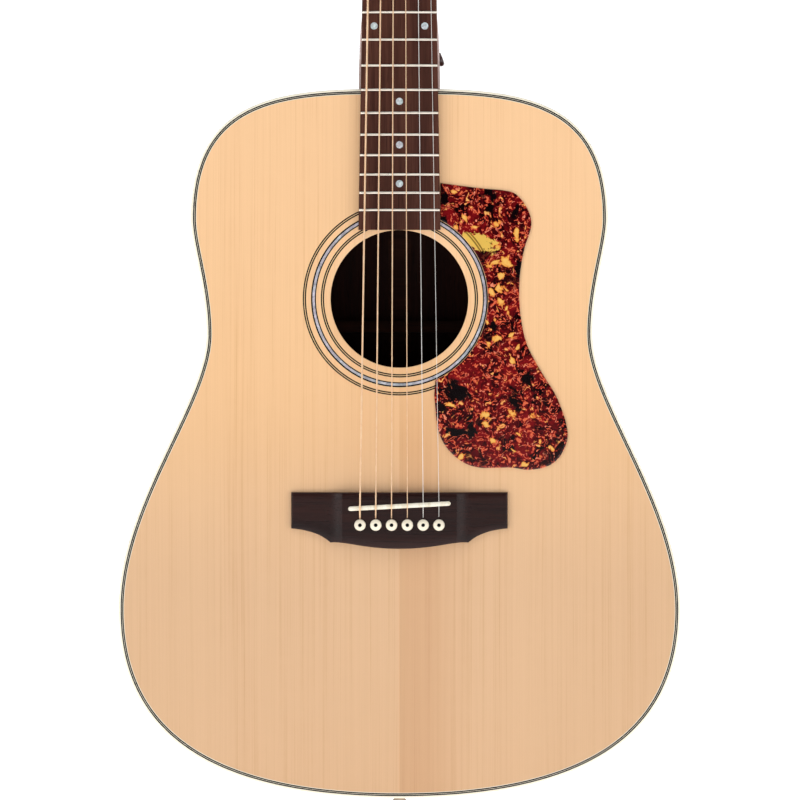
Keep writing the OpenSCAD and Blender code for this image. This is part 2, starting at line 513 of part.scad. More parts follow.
// Tuning machines, drawn for the treble side: x outward, y backward, z up the headstock.
pitch = PI*gear_m; teeth = 14;
cog_r = teeth*gear_m/2; worm_r = 2.8; axle_z = -(cog_r + worm_r); axle_y = 4.55;
SCREWS = [[0, 9.6], [0, -15.6]];
module at_post(i) on_head() mirror([i > 3 ? 1 : 0, 0, 0]) translate([post_x(i), head_t, ROWS[row(i)]]) children();
module along_x(x0, x1, r, f = 32) translate([x0, axle_y, axle_z]) rotate([0, 90, 0]) cylinder(h = x1 - x0, r = r, $fn = f);
module along_y(y0, y1, r, f = 32) translate([0, y0, 0]) rotate([-90, 0, 0]) cylinder(h = y1 - y0, r = r, $fn = f);
module tuner_plate() difference() {
  union() {
    slab(0, 1) polygon([[-4.5, 12], [4.5, 12], [6.5, 7], [8.6, 3], [8.6, -13], [4.5, -18], [-4.5, -18], [-8.6, -13], [-8.6, 3], [-6.5, 7]]);
    for (x = [-7.6, 6]) translate([x, 0.5, axle_z - 3.2]) cube([1.6, 7.4, 6.4]);
  }
  along_x(-12, 12, 2 + fit);
  translate([0, -1, 0]) along_y(0, 3, post_r + fit, 48);
  for (u = SCREWS) translate([u[0], -1, u[1]]) along_y(0, 3, 1.3);
}
module tuner_plates() color(steel) for (i = [1:6]) at_post(i) tuner_plate();
module tuner_screws() color(steel) for (i = [1:6]) at_post(i) for (u = SCREWS) translate([u[0], 0, u[1]]) difference() {
  rotate([-90, 0, 0]) rotate_extrude($fn = 32) polygon([[0, -9], [0.9, -7.5], [0.9, 1], [2.2, 1], [2.1, 1.6], [1.2, 2.1], [0, 2.2]]);
  translate([-1.6, 1.6, -0.3]) cube([3.2, 1, 0.6]);
}
module tuner_bushings() color(steel) for (i = [1:6]) at_post(i) rotate([-90, 0, 0]) rotate_extrude($fn = 64)
  polygon([[post_r + fit, -head_t - veneer_t - 1.4], [4.4, -head_t - veneer_t - 1.4], [5.2, -head_t - veneer_t - 0.8], [5.2, -head_t - veneer_t], [4.4, -head_t - veneer_t], [4.4, -head_t + 6], [post_r + fit, -head_t + 6]]);
module worm_2d() rotate(-360*4/pitch) polygon([for (a = [0, 22, 40, 65, 90, 120, 150, 180, 210, 240, 270, 295, 320, 338])
  let (q = a > 180 ? 360 - a : a, r = q <= 40 ? 3.4 : q >= 90 ? 1.85 : 3.4 - 1.55*(q - 40)/50) [r*cos(a), r*sin(a)]]);
module tuner_key(i) color(steel) at_post(i) {
  translate([-4, axle_y, axle_z]) rotate([0, 90, 0]) linear_extrude(8, twist = -360*8/pitch, slices = 38) worm_2d();
  along_x(-8, -3.9, 2); along_x(3.9, 16.5, 2);
  along_x(-3.9, 3.9, 1.5);
  along_x(-9, -7.95, 2.9); along_x(7.95, 9.2, 3);
  translate([24.6, axle_y, axle_z]) slab(-3.5, 3.5)
    polygon([for (a = [0:15:345]) [8.6*(cos(a) < 0 ? -1 : 1)*pow(abs(cos(a)), 0.8), 9.6*(sin(a) < 0 ? -1 : 1)*pow(abs(sin(a)), 0.8)]]);
}
module cog_2d() polygon([for (k = [0:teeth-1]) let (c = -90 + k*360/teeth)
  each [for (q = [[4.75, -8.2], [5.6, -4.7], [6.3, -2.4], [6.3, 2.4], [5.6, 4.7], [4.75, 8.2]]) q[0]*gear_m/0.8*[cos(c+q[1]), sin(c+q[1])]]]);
module tuner_post(i) color(steel) at_post(i) {
  difference() {
    union() { along_y(-head_t - veneer_t - 10, 3.2, post_r, 48); along_y(3.1, 5.95, 2); }
    translate([-5, -head_t + string_y, 0]) rotate([0, 90, 0]) cylinder(h = 10, r = 0.9, $fn = 24);
    along_y(1.4, 8, 1.05, 24);
  }
  difference() { slab(3.25, 5.85) cog_2d(); along_y(2, 8, 2 + fit); }
  difference() { union() { along_y(6, 7.1, 2.7); along_y(1.6, 6.1, 1); } translate([-3, 6.5, -0.35]) cube([6, 1, 0.7]); }
  // String windings: turns side by side below the point where the string arrives
  d = 2*STRING_R[i-1]; n = d > 1 ? 3 : d > 0.6 ? 4 : 5; r0 = post_r + 0.02;
  rotate([-90, 0, 0]) rotate_extrude($fn = 64) polygon(concat([[r0, -head_t + string_y + d/2 + 0.3]],
    [for (k = [0:n-1], q = [[0.3, 0.08], [0.85, 0.25], [1, 0.5], [0.85, 0.75], [0.3, 0.92]]) [r0 + d*q[0], -head_t + string_y + d/2 + 0.3 + d*(k + q[1])]],
    [[r0, -head_t + string_y + d/2 + 0.3 + d*n]]));
}
module tuner_key_1() tuner_key(1);
module tuner_key_2() tuner_key(2);
module tuner_key_3() tuner_key(3);
module tuner_key_4() tuner_key(4);
module tuner_key_5() tuner_key(5);
module tuner_key_6() tuner_key(6);
module tuner_post_1() tuner_post(1);
module tuner_post_2() tuner_post(2);
module tuner_post_3() tuner_post(3);
module tuner_post_4() tuner_post(4);
module tuner_post_5() tuner_post(5);
module tuner_post_6() tuner_post(6);

soundboard();
back();
side_bass();
side_treble();
top_lining();
back_lining();
neck_block();
tail_block();
top_binding();
back_binding();
top_purfling();
rosette_rings();
rosette_pearl();
x_braces();
tone_bars();
transverse_brace();
bridge_plate();
back_braces();
back_strip();
bridge();
saddle();
bridge_pins();
pin_dots();
ball_ends();
pickguard();
fingerboard();
frets();
fret_markers();
side_dots();
neck();
headstock();
heel_cap();
truss_rod();
head_veneer();
nut();
end_pin();
end_graft();
strap_button();
strap_button_screw();
string_1();
string_2();
string_3();
string_4();
string_5();
string_6();
tuner_plates();
tuner_bushings();
tuner_screws();
tuner_key_1();
tuner_key_2();
tuner_key_3();
tuner_key_4();
tuner_key_5();
tuner_key_6();
tuner_post_1();
tuner_post_2();
tuner_post_3();
tuner_post_4();
tuner_post_5();
tuner_post_6();
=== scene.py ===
import bpy
import math
import numpy as np
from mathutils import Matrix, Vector


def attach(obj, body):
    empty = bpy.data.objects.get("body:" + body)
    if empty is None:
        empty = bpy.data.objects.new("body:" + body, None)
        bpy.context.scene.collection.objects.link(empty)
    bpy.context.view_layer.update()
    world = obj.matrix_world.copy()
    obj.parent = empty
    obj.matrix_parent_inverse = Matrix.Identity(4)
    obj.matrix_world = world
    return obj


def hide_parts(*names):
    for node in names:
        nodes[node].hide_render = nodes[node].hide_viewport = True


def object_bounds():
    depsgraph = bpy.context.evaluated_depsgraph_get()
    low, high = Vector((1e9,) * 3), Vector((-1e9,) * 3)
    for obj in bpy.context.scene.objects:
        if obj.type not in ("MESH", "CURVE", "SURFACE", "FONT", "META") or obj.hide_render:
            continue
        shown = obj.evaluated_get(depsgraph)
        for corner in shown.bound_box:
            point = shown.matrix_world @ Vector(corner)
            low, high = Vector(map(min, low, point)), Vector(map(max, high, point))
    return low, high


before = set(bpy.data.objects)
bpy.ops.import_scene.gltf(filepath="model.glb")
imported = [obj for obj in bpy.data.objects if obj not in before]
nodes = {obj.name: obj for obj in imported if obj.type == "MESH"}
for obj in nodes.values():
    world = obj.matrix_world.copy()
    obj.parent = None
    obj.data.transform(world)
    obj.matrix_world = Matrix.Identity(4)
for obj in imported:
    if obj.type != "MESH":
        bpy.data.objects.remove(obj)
cad_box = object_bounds()
scene = bpy.context.scene
MM = 0.001

# ---------------------------------------------------------------- sizes, in millimetres, as in the design
BODY_LEN, DEPTH_NECK, DEPTH_TAIL, BACK_R = 500.0, 98.0, 122.0, 4500.0
TOP_T, BACK_T, SIDE_T = 2.8, 2.6, 2.2
BIND_T, BIND_H, PURF_W = 1.5, 6.0, 2.4
BODY_TOP = -358.0
BODY_END = BODY_TOP - BODY_LEN
HOLE_Z, HOLE_R = 506.0, 48.5
SCALE, NUT_W, BOARD_T, BOARD_R, FRET_H = 647.7, 43.0, 6.35, 406.4, 1.1
BOARD_END = -457.5
BRIDGE_T, PIN_Z, GAP_B, GAP_N = 7.6, 665.2, 11.1, 7.0
TILT, HEAD_T, VENEER_T = math.radians(14.0), 13.5, 1.6
POST_R = 3.1
STR_R = [0.16, 0.21, 0.32, 0.42, 0.54, 0.67]
ROWS = [45.0, 87.0, 129.0]
ct, st = math.cos(TILT), math.sin(TILT)


# ---------------------------------------------------------------- mesh helpers
def make(name, verts, faces, mats, body="guitar", replaces=(), sharp=35, face_mats=None, loop_uv=None):
    me = bpy.data.meshes.new(name)
    v = np.asarray(verts, float) * MM
    me.from_pydata(v.tolist(), [], [tuple(int(i) for i in f) for f in faces])
    if not isinstance(mats, (list, tuple)):
        mats = [mats]
    for m in mats:
        me.materials.append(m)
    if face_mats is not None:
        me.polygons.foreach_set("material_index", np.asarray(face_mats, np.int32))
    if loop_uv is not None:
        layer = me.uv_layers.new(name="grain")
        layer.data.foreach_set("uv", np.asarray(loop_uv, np.float32).ravel())
    me.validate()
    me.polygons.foreach_set("use_smooth", [True] * len(me.polygons))
    if sharp is not None:
        me.set_sharp_from_angle(angle=math.radians(sharp))
    ob = bpy.data.objects.new(name, me)
    scene.collection.objects.link(ob)
    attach(ob, body)
    if replaces:
        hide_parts(*replaces)
    return ob


def grid_faces(R, C, close_r=False, close_c=False, base=0, flip=False):
    out = []
    for i in range(R if close_r else R - 1):
        i2 = (i + 1) % R
        for j in range(C if close_c else C - 1):
            j2 = (j + 1) % C
            f = (base + i * C + j, base + i * C + j2, base + i2 * C + j2, base + i2 * C + j)
            out.append(f[::-1] if flip else f)
    return out


def rings(rows, caps=True, flip=False, close_r=False, base=0):
    """rows: list of closed rings with the same number of points."""
    rows = [np.asarray(r, float) for r in rows]
    R, C = len(rows), len(rows[0])
    verts = np.vstack(rows)
    faces = grid_faces(R, C, close_r, True, base, flip)
    if caps and not close_r:
        a = tuple(base + j for j in range(C))
        b = tuple(base + (R - 1) * C + j for j in range(C))
        faces += [a[::-1] if not flip else a, b if not flip else b[::-1]]
    return verts, faces


def merge(parts):
    vs, fs, n = [], [], 0
    for v, f in parts:
        v = np.asarray(v, float)
        vs.append(v)
        fs += [tuple(i + n for i in q) for q in f]
        n += len(v)
    return np.vstack(vs), fs


def fix_normals(ob):
    import bmesh
    bm = bmesh.new()
    bm.from_mesh(ob.data)
    bmesh.ops.recalc_face_normals(bm, faces=bm.faces)
    bm.to_mesh(ob.data)
    bm.free()
    return ob


def lathe(profile, seg=96):
    """profile: (r, h) pairs, closed solid about the local z axis; r = 0 points become poles."""
    verts, faces, idx = [], [], []
    for r, h in profile:
        if r < 1e-6:
            idx.append([len(verts)])
            verts.append((0, 0, h))
        else:
            idx.append(list(range(len(verts), len(verts) + seg)))
            verts += [(r * math.cos(2 * math.pi * k / seg), r * math.sin(2 * math.pi * k / seg), h) for k in range(seg)]
    def join(a, b):
        for k in range(seg):
            k2 = (k + 1) % seg
            if len(a) == 1 and len(b) == 1:
                return
            if len(a) == 1:
                faces.append((a[0], b[k2], b[k]))
            elif len(b) == 1:
                faces.append((a[k], a[k2], b[0]))
            else:
                faces.append((a[k], a[k2], b[k2], b[k]))
    for a, b in zip(idx[:-1], idx[1:]):
        join(a, b)
    if profile[0][0] > 1e-6 and profile[-1][0] > 1e-6:
        join(idx[-1], idx[0])
    return np.array(verts, float), faces


def soften(profile, r=0.25, n=4, closed=False):
    """Rounds the corners of an open profile of points by about r."""
    p = [np.array(q, float) for q in profile]
    out = [p[0]]
    for a, b, c in zip(p[:-2], p[1:-1], p[2:]):
        la, lc = np.linalg.norm(a - b), np.linalg.norm(c - b)
        if la < 1e-9 or lc < 1e-9:
            continue
        k = min(r, la * 0.45, lc * 0.45)
        s, e = b + (a - b) / la * k, b + (c - b) / lc * k
        for t in np.linspace(0, 1, n):
            out.append((1 - t) ** 2 * s + 2 * t * (1 - t) * b + t * t * e)
    out.append(p[-1])
    return [tuple(q) for q in out]


def soften_loop(profile, r=0.25, n=4):
    p = [np.array(q, float) for q in profile]
    out, m = [], len(p)
    for i in range(m):
        a, b, c = p[i - 1], p[i], p[(i + 1) % m]
        la, lc = np.linalg.norm(a - b), np.linalg.norm(c - b)
        k = min(r, la * 0.45, lc * 0.45)
        s, e = b + (a - b) / la * k, b + (c - b) / lc * k
        for t in np.linspace(0, 1, n):
            out.append((1 - t) ** 2 * s + 2 * t * (1 - t) * b + t * t * e)
    return np.array(out)


def basis(vs, origin, X, Y, Z):
    vs = np.asarray(vs, float)
    return np.array(origin, float) + vs[:, :1] * np.array(X, float) + vs[:, 1:2] * np.array(Y, float) + vs[:, 2:3] * np.array(Z, float)


def tube(path, r, seg=12, caps=True):
    p = np.asarray(path, float)
    n = len(p)
    t = np.zeros_like(p)
    t[1:-1] = p[2:] - p[:-2]
    t[0], t[-1] = p[1] - p[0], p[-1] - p[-2]
    t /= np.linalg.norm(t, axis=1)[:, None]
    ref = np.array([1.0, 0, 0]) if abs(t[0][0]) < 0.9 else np.array([0, 1.0, 0])
    u = ref - t[0] * (ref @ t[0])
    u /= np.linalg.norm(u)
    rr = np.full(n, r) if np.isscalar(r) else np.asarray(r)
    rows = []
    for i in range(n):
        u = u - t[i] * (u @ t[i])
        u /= np.linalg.norm(u)
        w = np.cross(t[i], u)
        a = np.linspace(0, 2 * math.pi, seg, endpoint=False)
        rows.append(p[i] + rr[i] * (np.cos(a)[:, None] * u + np.sin(a)[:, None] * w))
    return rings(rows, caps)


def smooth_path(points, r, n=8):
    """A polyline with its inner corners rounded to about r."""
    return np.array(soften([tuple(q) for q in points], r, n))


def plate(points, y0, y1, bevel=0.3, n=4, both=True):
    """A flat plate from a plan outline (x, z), between y0 (front) and y1, with rounded edges."""
    p = np.asarray(points, float)
    a = p - np.roll(p, 1, 0)
    b = np.roll(p, -1, 0) - p
    a /= np.linalg.norm(a, axis=1)[:, None]
    b /= np.linalg.norm(b, axis=1)[:, None]
    area = 0.5 * np.sum(p[:, 0] * np.roll(p[:, 1], -1) - np.roll(p[:, 0], -1) * p[:, 1])
    nrm = np.stack([(a + b)[:, 1], -(a + b)[:, 0]], 1)
    nrm /= np.linalg.norm(nrm, axis=1)[:, None]
    if area < 0:
        nrm = -nrm
    cosh = np.clip(np.sum(nrm * np.stack([a[:, 1], -a[:, 0]], 1) * (1 if area > 0 else -1), 1), 0.5, 1)
    rows = []
    def ring(o, y):
        q = p + nrm * (o / cosh)[:, None] if not np.isscalar(cosh) else p + nrm * o
        rows.append(np.stack([q[:, 0], np.full(len(q), y), q[:, 1]], 1))
    for k in range(n + 1):
        t = math.pi / 2 * k / n
        ring(-bevel * (1 - math.sin(t)), y0 + bevel * (1 - math.cos(t)))
    if both:
        for k in range(n + 1):
            t = math.pi / 2 * k / n
            ring(-bevel * (1 - math.cos(t)), y1 - bevel * (1 - math.sin(t)))
    else:
        ring(0, y1)
    return rings(rows, True)


# ---------------------------------------------------------------- body outline
def bez(a, b, c, d, t):
    return (1 - t) ** 3 * a + 3 * (1 - t) ** 2 * t * b + 3 * (1 - t) * t * t * c + t ** 3 * d


def bez_d(a, b, c, d, t):
    return 3 * (1 - t) ** 2 * (b - a) + 6 * (1 - t) * t * (c - b) + 3 * t * t * (d - c)


ub, wa, lb = 147.0, 136.0, 198.0
ubd, wad, lbd = 0.183 * 500, 0.346 * 500, 0.734 * 500
CURVES = [
    [(0, 0), (0.51 * ub, 0), (ub, 0), (ub, ubd)],
    [(ub, ubd), (ub, ubd + 0.233 * (wad - ubd)), (wa, wad - 0.41 * (wad - ubd)), (wa, wad)],
    [(wa, wad), (wa, wad + 0.245 * (lbd - wad)), (lb, lbd - 0.39 * (lbd - wad)), (lb, lbd)],
    [(lb, lbd), (lb, lbd + 0.607 * (500 - lbd)), (0.727 * lb, 500), (0, 500)]]
_pts, _nrm = [], []
for k, c in enumerate(CURVES):
    c = [np.array(q, float) for q in c]
    m = 110
    for t in np.linspace(0, 1, m + 1)[: (m + 1 if k == 3 else m)]:
        p, v = bez(*c, t), bez_d(*c, t)
        n = np.array([v[1], -v[0]]) / np.linalg.norm(v)
        _pts.append(p)
        _nrm.append(n)
_pts, _nrm = np.array(_pts), np.array(_nrm)


def half(o, s=1):
    q = _pts + _nrm * o
    return np.stack([s * q[:, 0], BODY_TOP - q[:, 1]], 1)


def full(o):
    a, b = half(o), half(o, -1)[::-1]
    return np.vstack([a, b[1:-1]])


arc = np.concatenate([[0], np.cumsum(np.linalg.norm(np.diff(_pts, axis=0), axis=1))])


def y_back(x, z, d=0.0):
    t = math.atan((DEPTH_TAIL - DEPTH_NECK) / BODY_LEN)
    return DEPTH_TAIL + (np.sqrt((BACK_R - d) ** 2 - x * x) - BACK_R - (z - BODY_END) * math.sin(t)) / math.cos(t)


def to3(p, y):
    p = np.asarray(p, float)
    yy = np.full(len(p), y) if np.isscalar(y) else np.asarray(y)
    return np.stack([p[:, 0], yy, p[:, 1]], 1)


# ---------------------------------------------------------------- materials
def new_mat(name):
    m = bpy.data.materials.new(name)
    m.use_nodes = True
    nt = m.node_tree
    for n in list(nt.nodes):
        nt.nodes.remove(n)
    out = nt.nodes.new("ShaderNodeOutputMaterial")
    b = nt.nodes.new("ShaderNodeBsdfPrincipled")
    nt.links.new(b.outputs[0], out.inputs[0])
    return m, nt, b


class G:
    """A small helper that makes nodes in one tree."""
    def __init__(self, nt):
        self.nt = nt

    def node(self, kind, **kw):
        n = self.nt.nodes.new(kind)
        for k, v in kw.items():
            setattr(n, k, v)
        return n

    def put(self, sock, v):
        if isinstance(v, bpy.types.NodeSocket):
            self.nt.links.new(v, sock)
        else:
            sock.default_value = v

    def coord(self, scale=(1, 1, 1), loc=(0, 0, 0), rot=(0, 0, 0), uv=None):
        if uv:
            c = self.node("ShaderNodeUVMap", uv_map=uv).outputs[0]
        else:
            c = self.node("ShaderNodeTexCoord").outputs["Object"]
        mp = self.node("ShaderNodeMapping")
        self.put(mp.inputs["Vector"], c)
        mp.inputs["Scale"].default_value = scale
        mp.inputs["Location"].default_value = loc
        mp.inputs["Rotation"].default_value = rot
        return mp.outputs[0]

    def sep(self, v):
        n = self.node("ShaderNodeSeparateXYZ")
        self.put(n.inputs[0], v)
        return n.outputs

    def comb(self, x, y, z):
        n = self.node("ShaderNodeCombineXYZ")
        for s, v in zip(n.inputs, (x, y, z)):
            self.put(s, v)
        return n.outputs[0]

    def math(self, op, a, b=0.0, c=None, clamp=False):
        n = self.node("ShaderNodeMath", operation=op, use_clamp=clamp)
        self.put(n.inputs[0], a)
        self.put(n.inputs[1], b)
        if c is not None:
            self.put(n.inputs[2], c)
        return n.outputs[0]

    def vadd(self, a, b):
        n = self.node("ShaderNodeVectorMath", operation="ADD")
        self.put(n.inputs[0], a)
        self.put(n.inputs[1], b)
        return n.outputs[0]

    def vscale(self, a, s):
        n = self.node("ShaderNodeVectorMath", operation="SCALE")
        self.put(n.inputs[0], a)
        self.put(n.inputs[3], s)
        return n.outputs[0]

    def noise(self, vec, scale=1.0, detail=2.0, rough=0.5, dist=0.0, color=False, dim="3D"):
        n = self.node("ShaderNodeTexNoise", noise_dimensions=dim)
        self.put(n.inputs["Vector"], vec)
        n.inputs["Scale"].default_value = scale
        n.inputs["Detail"].default_value = detail
        n.inputs["Roughness"].default_value = rough
        n.inputs["Distortion"].default_value = dist
        return n.outputs["Color" if color else "Fac"]

    def voronoi(self, vec, scale=1.0, feature="F1", out="Distance", rnd=1.0):
        n = self.node("ShaderNodeTexVoronoi", feature=feature)
        self.put(n.inputs["Vector"], vec)
        n.inputs["Scale"].default_value = scale
        n.inputs["Randomness"].default_value = rnd
        return n.outputs[out]

    def ramp(self, fac, stops, interp="LINEAR"):
        n = self.node("ShaderNodeValToRGB")
        n.color_ramp.interpolation = interp
        e = n.color_ramp.elements
        while len(e) > 1:
            e.remove(e[-1])
        e[0].position = stops[0][0]
        e[0].color = tuple(stops[0][1]) + (1,) if len(stops[0][1]) == 3 else stops[0][1]
        for pos, col in stops[1:]:
            x = e.new(pos)
            x.color = tuple(col) + (1,) if len(col) == 3 else col
        self.put(n.inputs[0], fac)
        return n.outputs[0]

    def maprange(self, v, a, b, c, d, smooth=False):
        n = self.node("ShaderNodeMapRange", interpolation_type="SMOOTHSTEP" if smooth else "LINEAR")
        self.put(n.inputs[0], v)
        for s, x in zip(list(n.inputs)[1:5], (a, b, c, d)):
            self.put(s, x)
        return n.outputs[0]

    def mix(self, fac, a, b, blend="MIX"):
        n = self.node("ShaderNodeMix", data_type="RGBA", blend_type=blend)
        self.put(n.inputs[0], fac)
        self.put(n.inputs[6], a if isinstance(a, bpy.types.NodeSocket) else (tuple(a) + (1,))[:4])
        self.put(n.inputs[7], b if isinstance(b, bpy.types.NodeSocket) else (tuple(b) + (1,))[:4])
        return n.outputs[2]

    def bump(self, h, strength=0.2, dist=0.0002, normal=None):
        n = self.node("ShaderNodeBump")
        n.inputs["Strength"].default_value = strength
        n.inputs["Distance"].default_value = dist
        self.put(n.inputs["Height"], h)
        if normal is not None:
            self.put(n.inputs["Normal"], normal)
        return n.outputs[0]


def lin(r, g, b):
    f = lambda c: (c / 255 / 12.92) if c / 255 <= 0.04045 else ((c / 255 + 0.055) / 1.055) ** 2.4
    return (f(r), f(g), f(b))


def spruce(name="spruce_top", gloss=True, base=(243, 199, 152)):
    m, nt, b = new_mat(name)
    g = G(nt)
    co = g.node("ShaderNodeTexCoord").outputs["Object"]
    x, y, z = g.sep(co)
    ax = g.math("ABSOLUTE", x)
    side = g.math("GREATER_THAN", x, 0.0)
    # the two halves are mirror images, a little different from each other
    wob = g.math("MULTIPLY", g.math("SUBTRACT", g.noise(g.comb(g.math("MULTIPLY", ax, 9.0), g.math("MULTIPLY", side, 3.0), g.math("MULTIPLY", z, 2.2)), 1.0, 2.0), 0.5), 0.004)
    u = g.math("ADD", ax, wob)
    fine = g.noise(g.comb(g.math("MULTIPLY", u, 1150.0), g.math("MULTIPLY", side, 7.0), g.math("MULTIPLY", z, 5.0)), 1.0, 2.0, 0.6)
    mid = g.noise(g.comb(g.math("MULTIPLY", u, 300.0), g.math("MULTIPLY", side, 5.0), g.math("MULTIPLY", z, 2.0)), 1.0, 2.0, 0.5)
    wide = g.noise(g.comb(g.math("MULTIPLY", u, 38.0), g.math("MULTIPLY", side, 2.0), g.math("MULTIPLY", z, 0.6)), 1.0, 2.0, 0.5)
    silk = g.noise(g.comb(g.math("MULTIPLY", u, 55.0), y, g.math("MULTIPLY", z, 60.0)), 1.0, 3.0, 0.6, 0.6)
    fleck = g.noise(g.comb(g.math("MULTIPLY", u, 2600.0), y, g.math("MULTIPLY", z, 90.0)), 1.0, 2.0, 0.6)
    base_c = lin(*base)
    dark = tuple(c * k for c, k in zip(base_c, (0.90, 0.83, 0.76)))
    light = tuple(min(1, c * k) for c, k in zip(base_c, (1.03, 1.04, 1.05)))
    s = g.math("ADD", g.math("MULTIPLY", fine, 0.50), g.math("ADD", g.math("MULTIPLY", mid, 0.30), g.math("ADD", g.math("MULTIPLY", wide, 0.22), g.math("MULTIPLY", silk, 0.08))))
    c = g.ramp(s, [(0.38, dark), (0.52, base_c), (0.66, light)])
    fl = g.maprange(fleck, 0.70, 0.80, 0.0, 0.35)
    c = g.mix(fl, c, dark)
    # painted shade: the colour is darker towards the tail; beside the seam on the treble side the wood is a little
    # warmer
    tail_shade = g.maprange(z, -0.54, -0.72, 0.0, 1.0, True)
    low = g.maprange(z, -0.52, -0.62, 0.0, 1.0, True)
    patch = g.noise(g.comb(g.math("MULTIPLY", x, 6.0), 0.0, g.math("MULTIPLY", z, 3.5)), 1.0, 1.0)
    seam = g.math("MULTIPLY", g.math("MULTIPLY", side, g.maprange(g.math("ADD", ax, g.math("MULTIPLY", g.math("SUBTRACT", mid, 0.5), 0.03)), 0.016, 0.052, 1.0, 0.0, True)), low)
    c = g.mix(tail_shade, c, g.mix(1.0, c, (0.80, 0.81, 0.87), "MULTIPLY"))
    c = g.mix(seam, c, g.mix(1.0, c, (0.91, 0.845, 0.79), "MULTIPLY"))
    c = g.mix(g.maprange(patch, 0.35, 0.65, 0.0, 0.5), c, g.mix(1.0, c, (0.95, 0.94, 0.92), "MULTIPLY"))
    line = g.maprange(ax, 0.00012, 0.00035, 0.22, 0.0)
    c = g.mix(line, c, dark)
    # painted light and shade: the colour is multiplied lighter towards the neck end and darker towards the tail
    _, _, hz = g.sep(g.coord())
    painted_light_grade = g.ramp(g.maprange(hz, -0.78, -0.40, 0.0, 1.0), [(0.0, (1.0, 0.965, 0.90, 1.0)), (0.45, (1.0, 0.97, 0.92, 1.0)), (1.0, (1.045, 1.035, 1.03, 1.0))])
    tn = g.node("ShaderNodeMix", data_type="RGBA", blend_type="MULTIPLY")
    tn.inputs["Factor"].default_value = 1.0
    g.put(tn.inputs[6], c)
    g.put(tn.inputs[7], painted_light_grade)
    g.put(b.inputs["Base Color"], tn.outputs[2])
    g.put(b.inputs["Roughness"], g.maprange(fine, 0.3, 0.7, 0.42, 0.50) if gloss else 0.65)
    g.put(b.inputs["Normal"], g.bump(g.math("ADD", fine, g.math("MULTIPLY", fleck, 0.3)), 0.12 if gloss else 0.35, 0.00012))
    b.inputs["IOR"].default_value = 1.45
    b.inputs["Specular IOR Level"].default_value = 0.35
    if gloss:
        b.inputs["Coat Weight"].default_value = 0.6
        b.inputs["Coat Roughness"].default_value = 0.08
    return m


def hardwood(name, base, dark, light, pore=0.5, along="z", gloss=0.0, rough=0.45, scale=1.0, uv=None, coat_r=0.07, streak=1.0, spec=0.4):
    """Open-pored hardwood. along is the grain's direction."""
    m, nt, b = new_mat(name)
    g = G(nt)
    if uv:
        src = g.node("ShaderNodeUVMap", uv_map=uv).outputs[0]
        a, c_, _ = g.sep(src)
        long_, x1, x2 = a, c_, 0.0
    else:
        src = g.node("ShaderNodeTexCoord").outputs["Object"]
        x, y, z = g.sep(src)
        long_, x1, x2 = {"z": (z, x, y), "x": (x, z, y), "y": (y, x, z)}[along]
    def vec(kl, ks):
        return g.comb(g.math("MULTIPLY", x1, ks * scale), g.math("MULTIPLY", x2, ks * scale) if uv is None else 0.0, g.math("MULTIPLY", long_, kl * scale))
    warp = g.noise(vec(3.0, 14.0), 1.0, 2.0, 0.5, 0.0, True)
    def warped(kl, ks, amt):
        return g.vadd(vec(kl, ks), g.vscale(warp, amt))
    bands = g.noise(warped(2.5, 90.0, 2.0), 1.0, 3.0, 0.55, 0.4)
    wide = g.noise(warped(1.2, 24.0, 1.0), 1.0, 2.0, 0.5)
    fibre = g.noise(vec(18.0, 900.0), 1.0, 3.0, 0.6)
    pores = g.noise(vec(60.0, 1700.0), 1.0, 1.0, 0.5)
    s = g.math("ADD", g.math("MULTIPLY", bands, 0.45 * streak), g.math("ADD", g.math("MULTIPLY", wide, 0.35), g.math("MULTIPLY", fibre, 0.28)))
    c = g.ramp(s, [(0.36, lin(*dark)), (0.52, lin(*base)), (0.70, lin(*light))])
    pm = g.maprange(pores, 0.62, 0.72, 0.0, 1.0)
    c = g.mix(g.math("MULTIPLY", pm, pore), c, tuple(v * 0.35 for v in lin(*dark)))
    g.put(b.inputs["Base Color"], c)
    g.put(b.inputs["Roughness"], g.maprange(fibre, 0.3, 0.7, rough - 0.05, rough + 0.06))
    h = g.math("SUBTRACT", g.math("MULTIPLY", fibre, 0.4), g.math("MULTIPLY", pm, 1.0))
    g.put(b.inputs["Normal"], g.bump(h, 0.35 if not gloss else 0.10, 0.00012))
    b.inputs["IOR"].default_value = 1.45
    b.inputs["Specular IOR Level"].default_value = spec
    if gloss:
        b.inputs["Coat Weight"].default_value = gloss
        b.inputs["Coat Roughness"].default_value = coat_r
    return m


def plastic(name, col, rough=0.25, mottle=0.06, scale=300, coat=0.0, spec=0.5, sss=0.0):
    m, nt, b = new_mat(name)
    g = G(nt)
    n1 = g.noise(g.coord(), scale, 3.0, 0.6)
    n2 = g.noise(g.coord(), scale * 0.12, 2.0, 0.5)
    c1 = tuple(v * (1 - mottle) for v in lin(*col))
    c2 = tuple(min(1, v * (1 + mottle)) for v in lin(*col))
    g.put(b.inputs["Base Color"], g.ramp(g.math("ADD", g.math("MULTIPLY", n1, 0.4), g.math("MULTIPLY", n2, 0.6)), [(0.35, c1), (0.65, c2)]))
    g.put(b.inputs["Roughness"], g.maprange(n1, 0.3, 0.7, rough * 0.85, rough * 1.2))
    g.put(b.inputs["Normal"], g.bump(n1, 0.05, 0.0001))
    b.inputs["Specular IOR Level"].default_value = spec
    if coat:
        b.inputs["Coat Weight"].default_value = coat
        b.inputs["Coat Roughness"].default_value = 0.06
    return m


